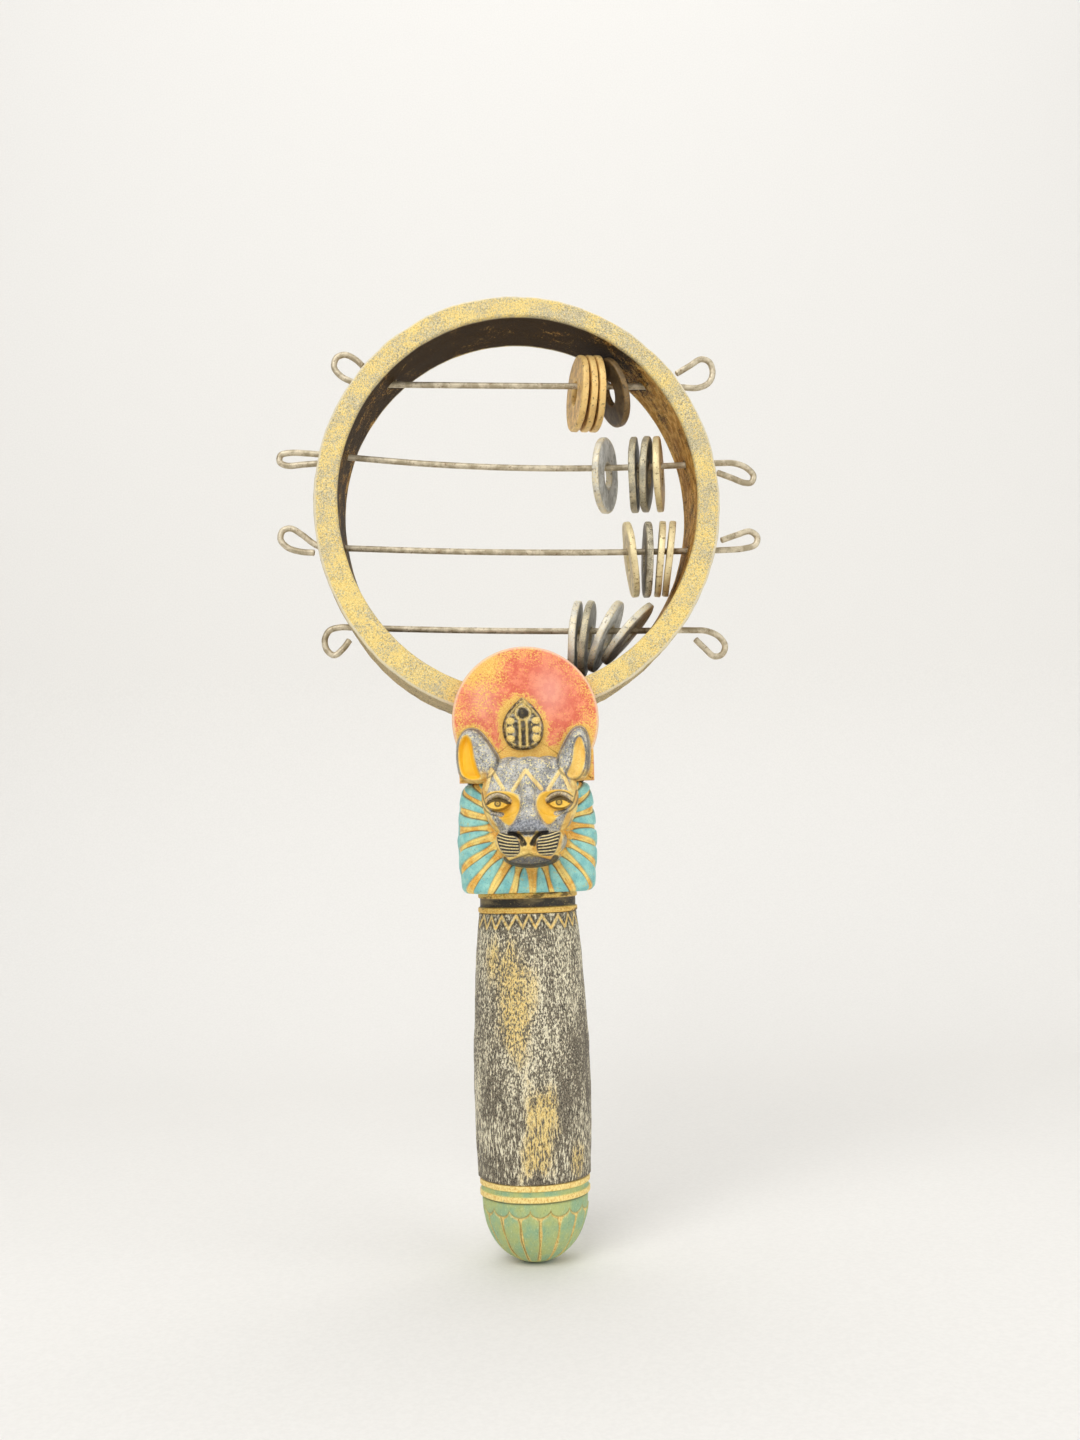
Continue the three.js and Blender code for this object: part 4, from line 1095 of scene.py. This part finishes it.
def make_ornament():
    spans = ((-8, 6.4), 3.6, (153.4, 171))
    points, faces = relief_solid(ornament_height, 0.5, spans, 0.14 * COARSE)
    x, out, z = points.T
    u, v, edge, knob = ornament_places(x, z)
    au = np.abs(u)
    gold = strongest(
        bell(au - 1.05, 0.38) * plateau(v, -6.8, 1.2, 0.6),
        *(1 - ease(np.hypot((au - BEAD_OUT) / 1.3, v - level), 0.8, 1.2) for level in BEADS),
        0.8 * bell(knob - 2.2, 0.35),
        0.9 * bell(np.hypot(u - 0.6, (v - 6.2) * 0.7), 0.9),
        0.7 * bell(edge - 1.1, 0.25),
    )
    dark = strongest(
        0.9 * (1 - ease(knob, 1.3, 1.8)),
        0.85 * bell(au, 0.6) * plateau(v, -6.8, 1.0, 0.6),
        0.85 * bell(au - 2.0, 0.5) * plateau(v, -6.8, 0.6, 0.6),
        0.6 * bell(edge - 0.35, 0.18) * (v < 3),
        0.6 * bell(edge + 0.1, 0.25),
    )
    placed = np.column_stack([x, FRONT + 0.15 - out, z])
    marks = {"gold": gold, "dark": dark}
    piece("pointed_badge", (placed, faces), ornament_finish(), ["sun_ornament"], marks=marks)


# Hoop, its seat and the tie rod's head

HOOP_FOOT, HOOP_TOP = 165.5, 300.3
OUTER = {"x": -0.2, "half": 63.6, "up": 67.0, "down": 67.8, "top": 0.1, "foot": -1.7, "middle": 233.3}
INNER = {"x": 0.0, "half": 56.4, "up": 58.6, "down": 61.5, "top": 1.1, "foot": -0.9, "middle": 234.8}


def oval_point(oval, angle):
    rise = np.sin(angle)
    drift = np.where(rise > 0, oval["top"], oval["foot"]) * rise**2
    reach = np.where(rise > 0, oval["up"], oval["down"])
    return np.stack([oval["x"] + drift + oval["half"] * np.cos(angle), oval["middle"] + reach * rise], -1)


def wall_x(oval, z, side):
    rise = z - oval["middle"]
    share = min(1.0, abs(rise) / (oval["up"] if rise > 0 else oval["down"]))
    drift = (oval["top"] if rise > 0 else oval["foot"]) * share**2
    return oval["x"] + drift + side * oval["half"] * math.sqrt(1 - share**2)


def hoop_depth(z):
    return 31.0 + (z - HOOP_FOOT) / (HOOP_TOP - HOOP_FOOT) * (25.0 - 31.0)


def rounded_section(across, along, radii, steps=7):
    """Points round a rectangle of width 1 x depth 1, as (u, v, du, dv): a place and an offset in mm."""
    corners = [(0, 1), (0, -1), (1, -1), (1, 1)]  # outer back, outer front, inner front, inner back

    def spot(n, a):
        (u, v), r = corners[n % 4], radii[n % 4]
        return np.array([u, v, (1 - 2 * u) * r + r * math.cos(a), -v * r + r * math.sin(a)])

    spots = []
    for n, count in enumerate((along, across, along, across)):
        start, end = (n + 1) * math.pi / 2, (n + 2) * math.pi / 2
        spots += [spot(n, a) for a in np.linspace(start, end, steps)]
        first, last = spots[-1], spot(n + 1, end)
        spots += [first + (last - first) * t for t in np.linspace(0, 1, count + 2)[1:-1]]
    return np.array(spots)


def make_hoop():
    angle = -math.pi / 2 + circle(900 // COARSE)
    out, inn = oval_point(OUTER, angle), oval_point(INNER, angle)
    width = np.linalg.norm(inn - out, axis=1)[:, None]
    way = (inn - out) / width
    u, v, du, dv = rounded_section(10, 28 // COARSE, (1.2, 1.3, 0.9, 0.9)).T
    depth = hoop_depth(out[:, 1])[:, None]
    s = u * width + du
    flat = out[:, None] + way[:, None] * s[..., None]
    z_depth = hoop_depth(flat[..., 1])
    y = (v * depth / 2 + dv) * z_depth / depth
    rings = np.stack([flat[..., 0], y, flat[..., 1]], -1)
    # the inner wall stays close to the CAD's, because the discs come near it
    calm = np.where(u > 0.5, 0.3, 1.0)
    wobble = calm * (0.10 * ripple(rings, 11, 81) + 0.06 * ripple(rings, 3.4, 82)) * np.sign(0.5 - u)
    rings[..., 0] -= wobble * way[:, None, 0]
    rings[..., 2] -= wobble * way[:, None, 1]
    rings[..., 1] += 0.08 * ripple(rings, 6, 83)
    inside = s / width
    front = (1 - ease(y + z_depth / 2, 0.5, 1.6)) + ease(y - z_depth / 2, -1.6, -0.5)
    length = np.concatenate([[0], np.cumsum(np.linalg.norm(np.diff((out + inn) / 2, axis=0), axis=1))])
    inner = ease(inside, 0.8, 0.95) * (1 - front)
    x, z = rings[..., 0], rings[..., 2]
    top, right = ease(z, 268, 282), ease(x, 20, 46)
    # less gold towards the top is painted shade, where the inner wall faces down; there is also more gold on
    # the right and less towards the foot
    inner_gilt = 0.10 * right - 0.03 - 0.04 * top + 0.05 * blob(x, z, (55, 256, 12, 18))
    inner_gilt = inner_gilt - 0.04 * (1 - ease(z, 178, 196))
    rim_gilt = 0.035 * (1 - ease(z, 205, 235)) - 0.03 * right * ease(z, 235, 260) + 0.01
    marks = {
        "front": front,
        "inner": inner,
        "along": np.broadcast_to(length[:, None] * MM, s.shape),
        "across": (s + y + z_depth / 2) * MM,
        "gilt": inner * inner_gilt + (1 - inner) * rim_gilt,
        "edge": front * near(np.abs(inside - 0.04), 0.03, 0.05),
    }
    bore(lofted("carved_hoop", rings, marks, hoop_finish(), ["hoop"], ends=False))


BORE_R = 1.5
BORE_REACH = 23  # to each side of the wall's middle


def bore(hoop):
    """The wire holes through the hoop's walls, each along its wire."""
    points, faces = [], []
    turn = circle(24)
    for wire in WIRES:
        for side in (-1, 1):
            _, outer_x, inner_x = wire_ends(wire, side)
            x = (outer_x + inner_x) / 2
            slope = wire_height(wire, x + 0.5) - wire_height(wire, x - 0.5)
            run = np.array([1, 0, slope]) / math.hypot(1, slope)
            up = np.array([-run[2], 0, run[0]])
            middle = np.array([x, 0, wire_height(wire, x)])
            ring = BORE_R * (np.cos(turn)[:, None] * up + np.sin(turn)[:, None] * np.array([0, 1, 0]))
            ends = [middle + reach * run + ring for reach in (-BORE_REACH, BORE_REACH)]
            tube, closed = loft(np.array(ends))
            faces += [tuple(i + len(points) for i in f) for f in outwards(tube - tube.mean(0), closed)]
            points += tube.tolist()
    cutter = mesh_object("wire_bores", part_points(points), faces, smooth=False)
    cut = hoop.modifiers.new("bores", "BOOLEAN")
    cut.operation = "DIFFERENCE"
    cut.solver = "EXACT"
    cut.object = cutter
    bpy.context.view_layer.update()
    done = bpy.data.meshes.new_from_object(hoop.evaluated_get(bpy.context.evaluated_depsgraph_get()))
    hoop.modifiers.clear()
    hoop.data = done
    bpy.data.objects.remove(cutter)


def make_seat():
    half, depth, corner = 18.0, 15.5, 5.0
    side, back = half - corner, depth - corner

    def arc(x, start):
        turns = np.linspace(start, start + math.pi / 2, 16)
        return [(x + corner * math.cos(a), back + corner * math.sin(a)) for a in turns]

    plan = [(x, -depth) for x in np.linspace(-half, half, 60)]
    plan += [(half, y) for y in np.linspace(-depth, back, 40)[1:-1]] + arc(side, 0)
    plan += [(x, depth) for x in np.linspace(side, -side, 50)[1:-1]] + arc(-side, math.pi / 2)
    plan += [(-half, y) for y in np.linspace(back, -depth, 40)[1:-1]]
    plan = np.array(plan)
    levels = [(k, 0.0) for k in (0.1, 0.4, 0.7, 0.9)] + [(0.975, 0.0), (0.993, 0.02), (1, 0.05)]
    levels += [(1, t) for t in np.linspace(0.1, 0.93, 26)] + [(0.993, 0.98), (0.975, 1.0)]
    levels += [(k, 1.0) for k in (0.9, 0.7, 0.4, 0.1)]
    rings = []
    for share, t in levels:
        x, y = (plan * share).T
        top = OUTER["middle"] - OUTER["down"] * np.sqrt(1 - (x / OUTER["half"]) ** 2) - 0.2
        rings.append(np.column_stack([x, y, SUN_FOOT + t * (top - SUN_FOOT)]))
    rings = np.array(rings)
    flat = rings[..., :2]
    flat += 0.12 * ripple(rings, 8, 91)[..., None] * np.sign(flat) * (rings[..., 1:2] > -15)
    lofted("hoop_saddle", rings, {}, seat_finish(), ["hoop_seat"])


def make_tie_rod():
    foot, neck, r = 11.9, 173.75, 3.0
    profile = [(0.05, foot), (r - 0.4, foot), (r, foot + 0.4), (r, neck), (6.2, neck), (6.5, neck + 0.3)]
    for a in quarter(14):
        profile.append((5.3 * math.cos(a) + 1.1 * math.cos(a) ** 4, neck + 0.6 + 2.1 * math.sin(a)))
    turn = circle(96)
    rings = [np.column_stack([r * np.cos(turn), r * np.sin(turn), np.full(96, z)]) for r, z in profile]
    rings = np.array(rings)
    marks = {"edge": np.zeros(rings.shape[:2])}
    colours = ((190, 184, 170), (130, 122, 106), (110, 84, 56), (206, 200, 186))
    finish = metal_finish("tie_rod_steel", 33, 0.6, colours)
    lofted("turned_rod", rings, marks, finish, ["tie_rod"])


# Wires and discs

# heights over the hoop's foot at its walls, sag, and the loops' points from where the wire leaves the hoop
WIRES = [
    {
        "name": "wire_1", "left": 110.4, "right": 109.1, "sag": 0.1,
        "left_loop": [(3.4, 0.9), (7.0, 2.9), (9.0, 5.8), (8.2, 8.9), (5.4, 9.9), (2.2, 8.4), (-0.4, 5.9)],
        "right_loop": [
            (5.4, -0.3), (10.6, -0.5), (14.2, 1.2), (15.6, 4.6), (14.6, 8.2), (12.0, 9.2), (7.8, 6.8),
            (3.4, 4.2),
        ],
    },
    {
        "name": "wire_2", "left": 86.3, "right": 82.5, "sag": 2.2,
        "left_loop": [
            (5.2, 0.5), (11.2, 0.8), (14.3, 0.0), (14.6, -2.2), (12.4, -3.4), (7.0, -3.1), (2.3, -2.8),
        ],
        "right_loop": [
            (4.8, 0.2), (9.8, 0.0), (13.6, -1.6), (15.7, -4.2), (14.9, -6.4), (12.6, -6.5), (8.4, -4.8),
            (3.6, -2.9),
        ],
    },
    {
        "name": "wire_3", "left": 56.5, "right": 53.9, "sag": 0.9,
        "left_loop": [
            (2.6, 1.3), (6.2, 4.2), (9.6, 6.2), (12.2, 5.5), (12.9, 2.7), (10.6, 0.0), (6.4, -1.4),
            (2.1, -1.8),
        ],
        "right_loop": [
            (5.6, 0.1), (11.4, 0.5), (15.2, 1.7), (15.9, 4.2), (13.6, 6.1), (9.2, 5.0), (3.9, 3.2),
        ],
    },
    {
        "name": "wire_4", "left": 30.3, "right": 28.0, "sag": 0.45,
        "left_loop": [
            (3.6, 0.1), (7.0, -0.9), (8.5, -3.8), (7.8, -7.2), (5.5, -8.8), (2.8, -6.8), (0.6, -3.9),
        ],
        "right_loop": [
            (4.6, -0.1), (9.2, -0.4), (13.2, -2.3), (15.1, -5.4), (14.0, -8.1), (11.4, -8.7), (8.3, -5.9),
            (5.4, -2.9),
        ],
    },
]
WIRE_END = [(0.0, 0.35), (0.08, 0.75), (0.3, 1.0)]  # a rounded end: how far in, and the radius there


def wire_ends(wire, side):
    z = HOOP_FOOT + wire["right" if side > 0 else "left"]
    return z, wall_x(OUTER, z, side), wall_x(INNER, z, side)


def wire_height(wire, x):
    left_z, _, left_x = wire_ends(wire, -1)
    right_z, _, right_x = wire_ends(wire, 1)
    share = (x - left_x) / (right_x - left_x)
    return left_z + share * (right_z - left_z) - 4 * wire["sag"] * share * (1 - share)


def wire_path(wire, steps=12):
    """The CAD's centripetal curve through the wire's points, in X and Z."""
    _, out_left, in_left = wire_ends(wire, -1)
    _, out_right, in_right = wire_ends(wire, 1)
    start, *across, end = (
        np.array([x, wire_height(wire, x)]) for x in (out_left, *np.linspace(in_left, in_right, 5), out_right)
    )
    points = [start + (-a, b) for a, b in reversed(wire["left_loop"])] + [start] + across
    points += [end] + [end + (a, b) for a, b in wire["right_loop"]]
    points = [2 * points[0] - points[1]] + points + [2 * points[-1] - points[-2]]
    t = np.linspace(0, 1, steps, endpoint=False)[:, None]
    path = []
    for p0, p1, p2, p3 in zip(points, points[1:], points[2:], points[3:]):
        t0, t1, t2 = (math.sqrt(np.linalg.norm(b - a)) for a, b in ((p0, p1), (p1, p2), (p2, p3)))
        v1 = ((p1 - p0) / t0 - (p2 - p0) / (t0 + t1) + (p2 - p1) / t1) * t1
        v2 = ((p2 - p1) / t1 - (p3 - p1) / (t1 + t2) + (p3 - p2) / t2) * t1
        path.append(hermite(p1, p2, v1, v2, t))
    return np.concatenate(path + [points[-2][None]])


def make_wire(wire, finish):
    path = wire_path(wire)
    way = np.gradient(path, axis=0)
    way /= np.linalg.norm(way, axis=1)[:, None]
    up = np.column_stack([-way[:, 1], way[:, 0]])
    turn = circle(20)
    spots = [WIRE_END] + [[(0.0, 1.0)]] * (len(path) - 2) + [[(-back, r) for back, r in WIRE_END[::-1]]]
    rings = []
    for at, along, u, spot in zip(path, way, up, spots):
        for back, r in spot:
            flat = at + along * back + r * np.cos(turn)[:, None] * u
            rings.append(np.column_stack([flat[:, 0], r * np.sin(turn), flat[:, 1]]))
    rings = np.array(rings)
    name = wire["name"]
    marks = {"edge": np.zeros(rings.shape[:2])}
    lofted(f"bent_{name}", rings, marks, finish, [name], name)


def make_wires():
    colours = ((218, 206, 180), (172, 158, 130), (130, 104, 72), (226, 212, 184))
    steel = metal_finish("wire_steel", 35, 0.5, colours, (6, 1, 1))
    for wire in WIRES:
        make_wire(wire, steel)


# lean tips a disc's top to the right, and yaw turns its left face forwards, in degrees
DISC_TURNS = [
    [(3, 9), (1, 8), (0, 8), (-17, 13)],
    [(4, -22), (2, -12), (5, -14), (0, -13)],
    [(-6, -3), (2, -3), (6, -7), (8, -7)],
    [(7, -10), (10, -11), (26, -13), (42, -9)],
]
# how metallic, and the bright, dull, stained and rim colours
DISC_PAINTS = {
    "bronze": (0.2, ((236, 194, 116), (186, 144, 82), (112, 86, 50), (242, 210, 140))),
    "brown": (0.3, ((106, 90, 66), (72, 60, 42), (54, 44, 30), (150, 118, 70))),
    "zinc": (0.2, ((226, 226, 220), (176, 174, 166), (140, 126, 98), (230, 212, 164))),
    "grey": (0.35, ((150, 146, 134), (112, 108, 96), (92, 80, 60), (226, 212, 172))),
    "brass": (0.35, ((226, 206, 156), (184, 162, 116), (132, 108, 68), (244, 228, 180))),
    "dark": (0.35, ((120, 108, 84), (84, 74, 56), (60, 50, 34), (232, 222, 192))),
}
DISC_ROWS = [
    ("bronze", "bronze", "bronze", "brown"),
    ("zinc", "grey", "grey", "brass"),
    ("brass", "dark", "brass", "brass"),
    ("zinc", "grey", "zinc", "zinc"),
]
DISC_R, SMALL_DISC_R, HOLE_R = 12.25, 11.25, 3.95
DISC_HALF = 1.05  # half its thickness


def disc_corner(middle, soft, turns):
    """Points round both corners of a disc's rim or hole, as (radius, height) pairs."""
    for a in turns:
        rise = math.sin(a)
        level = 0 if abs(rise) < 0.05 else (DISC_HALF - soft) * np.sign(rise)
        yield middle + soft * math.cos(a), level + soft * rise


def make_disc(row, k, finish):
    name = f"disc_{row + 1}{'abcd'[k]}"
    middle = np.mean(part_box(name), axis=0) / MM
    r = SMALL_DISC_R if name == "disc_1d" else DISC_R
    rim, brim = r - 0.55, HOLE_R + 0.35  # where the rounded corners of the rim and the hole begin
    outline = list(disc_corner(rim, 0.55, np.linspace(-math.pi / 2, math.pi / 2, 13)))
    outline += [(t, DISC_HALF) for t in np.linspace(rim, brim, 14)[1:-1]]
    outline += disc_corner(brim, 0.35, np.linspace(math.pi / 2, 1.5 * math.pi, 9))
    outline += [(t, -DISC_HALF) for t in np.linspace(brim, rim, 14)[1:-1]]
    radius, off = (v[:, None] for v in np.array(outline, float).T)
    turn = circle(144 // COARSE)
    local = np.stack([off + 0 * turn, radius * np.cos(turn), radius * np.sin(turn)], -1)
    seed = 100 + 10 * row + k
    local[..., 0] += 0.07 * ripple(local, 12, seed)
    local += 0.05 * ripple(local, 3, seed + 50)[..., None] * [0.3, 0.5, 0.5]
    (c, s), (cos_yaw, sin_yaw) = ((math.cos(a), math.sin(a)) for a in map(math.radians, DISC_TURNS[row][k]))
    about_y = np.array([[c, 0, s], [0, 1, 0], [-s, 0, c]])
    about_z = np.array([[cos_yaw, -sin_yaw, 0], [sin_yaw, cos_yaw, 0], [0, 0, 1]])
    rings = local @ (about_z @ about_y).T + middle
    rings[..., 2] -= TIP
    wide = np.broadcast_to(radius, rings.shape[:2])
    edge = ease(wide, r - 1.3, r - 0.35) + 1 - ease(wide, HOLE_R + 0.3, HOLE_R + 1.0)
    marks = {"edge": np.clip(edge * (0.75 + 0.25 * ripple(local, 4, seed + 90)), 0, 1)}
    lofted(f"washer_{name[5:]}", rings, marks, finish, [name], name, ends=False)


def make_discs():
    finishes = {}
    for i, (name, paint) in enumerate(DISC_PAINTS.items()):
        finishes[name] = metal_finish(name, 37 + 2 * i, *paint)
    for row, names in enumerate(DISC_ROWS):
        for k, name in enumerate(names):
            make_disc(row, k, finishes[name])


# Stage, lamps and camera

def make_stage():
    m = Finish("backdrop_paper", rough=0.9, specular=0.2)
    grain = m.noise(1.2, 90, 0.6, 3)
    m.colour(m.paint(rgb(232, 230, 226), (grain, 0.3, 0.7, rgb(236, 234, 230))))
    flat, bend = 280, 260  # how far back the floor is flat, and the radius of its bend
    turns = quarter(20)[1:]
    profile = [(-1200, 0.0), (-300, 0.0), (flat, 0.0)]
    profile += [(flat + bend * math.sin(a), bend * (1 - math.cos(a))) for a in turns]
    profile += [(flat + bend, 1500.0)]
    n = len(profile)
    points = part_points([(x, y, z) for x in np.linspace(-1500, 1500, 9) for y, z in profile])
    corners = [(i * n + j, (i + 1) * n + j) for i in range(8) for j in range(n - 1)]
    floor = mesh_object("backdrop", points, [(a, b, b + 1, a + 1) for a, b in corners])
    floor.data.materials.append(m.material)


def aimed(name, data, at, right, up, back):
    """A lamp or camera at a place, looking against back."""
    obj = bpy.data.objects.new(name, data)
    bpy.context.scene.collection.objects.link(obj)
    obj.matrix_world = Matrix([[right[i], up[i], back[i], at[i]] for i in range(3)] + [[0, 0, 0, 1]])
    return obj


LIT = (0, 0, 0.08)  # what the lamps point at: the top of the mane


def lamp(name, at, size, power):
    data = bpy.data.lights.new(name, "AREA")
    data.shape = "SQUARE"
    data.size = size
    data.energy = power
    back = np.array(at) - LIT
    back /= np.linalg.norm(back)
    right = np.cross([0, 0, 1], back)
    right /= np.linalg.norm(right)
    aimed(name, data, at, right, np.cross(back, right), back)


def make_lights():
    lamp("key", (-0.45, -0.90, 0.90), 0.9, 11.0)
    lamp("fill", (0.95, -0.70, 0.35), 1.1, 5.9)
    lamp("top", (0.1, 0.25, 1.25), 0.9, 4.7)
    world = bpy.data.worlds.new("studio")
    world.use_nodes = True
    world.node_tree.nodes["Background"].inputs["Color"].default_value = (1, 1, 1, 1)
    world.node_tree.nodes["Background"].inputs["Strength"].default_value = 0.335
    bpy.context.scene.world = world


FOCAL = 1250  # in the photograph's pixels, which are 1080 x 1440
PHOTO_MIDDLE = 540, 720
VANISHING = 475, 845  # where level lines that run straight back meet
ROLL = math.radians(1.28)
CAMERA_PLACE = (-0.0161, -0.395, 0.061)


def make_camera():
    """The photograph's camera: its lens, place and tilt."""
    data = bpy.data.cameras.new("photo_camera")
    data.sensor_width = 36.0
    data.lens = 31.25
    data.clip_start = 0.01
    ahead = np.array([*((a - b) / FOCAL for a, b in zip(VANISHING, PHOTO_MIDDLE)), 1.0])
    ahead /= np.linalg.norm(ahead)
    up = np.array([-math.sin(ROLL), -math.cos(ROLL), 0.0])
    up -= up @ ahead * ahead
    up /= np.linalg.norm(up)
    turn = np.column_stack([np.cross(ahead, up), ahead, up])
    bpy.context.scene.camera = aimed("photo_camera", data, CAMERA_PLACE, turn[0], -turn[1], -turn[2])


make_pommel()
make_grip()
make_collar()
make_mane()
make_head()
make_sun()
make_ornament()
make_hoop()
make_seat()
make_tie_rod()
make_wires()
make_discs()
make_stage()
make_lights()
make_camera()

bpy.context.scene.view_settings.view_transform = "Standard"
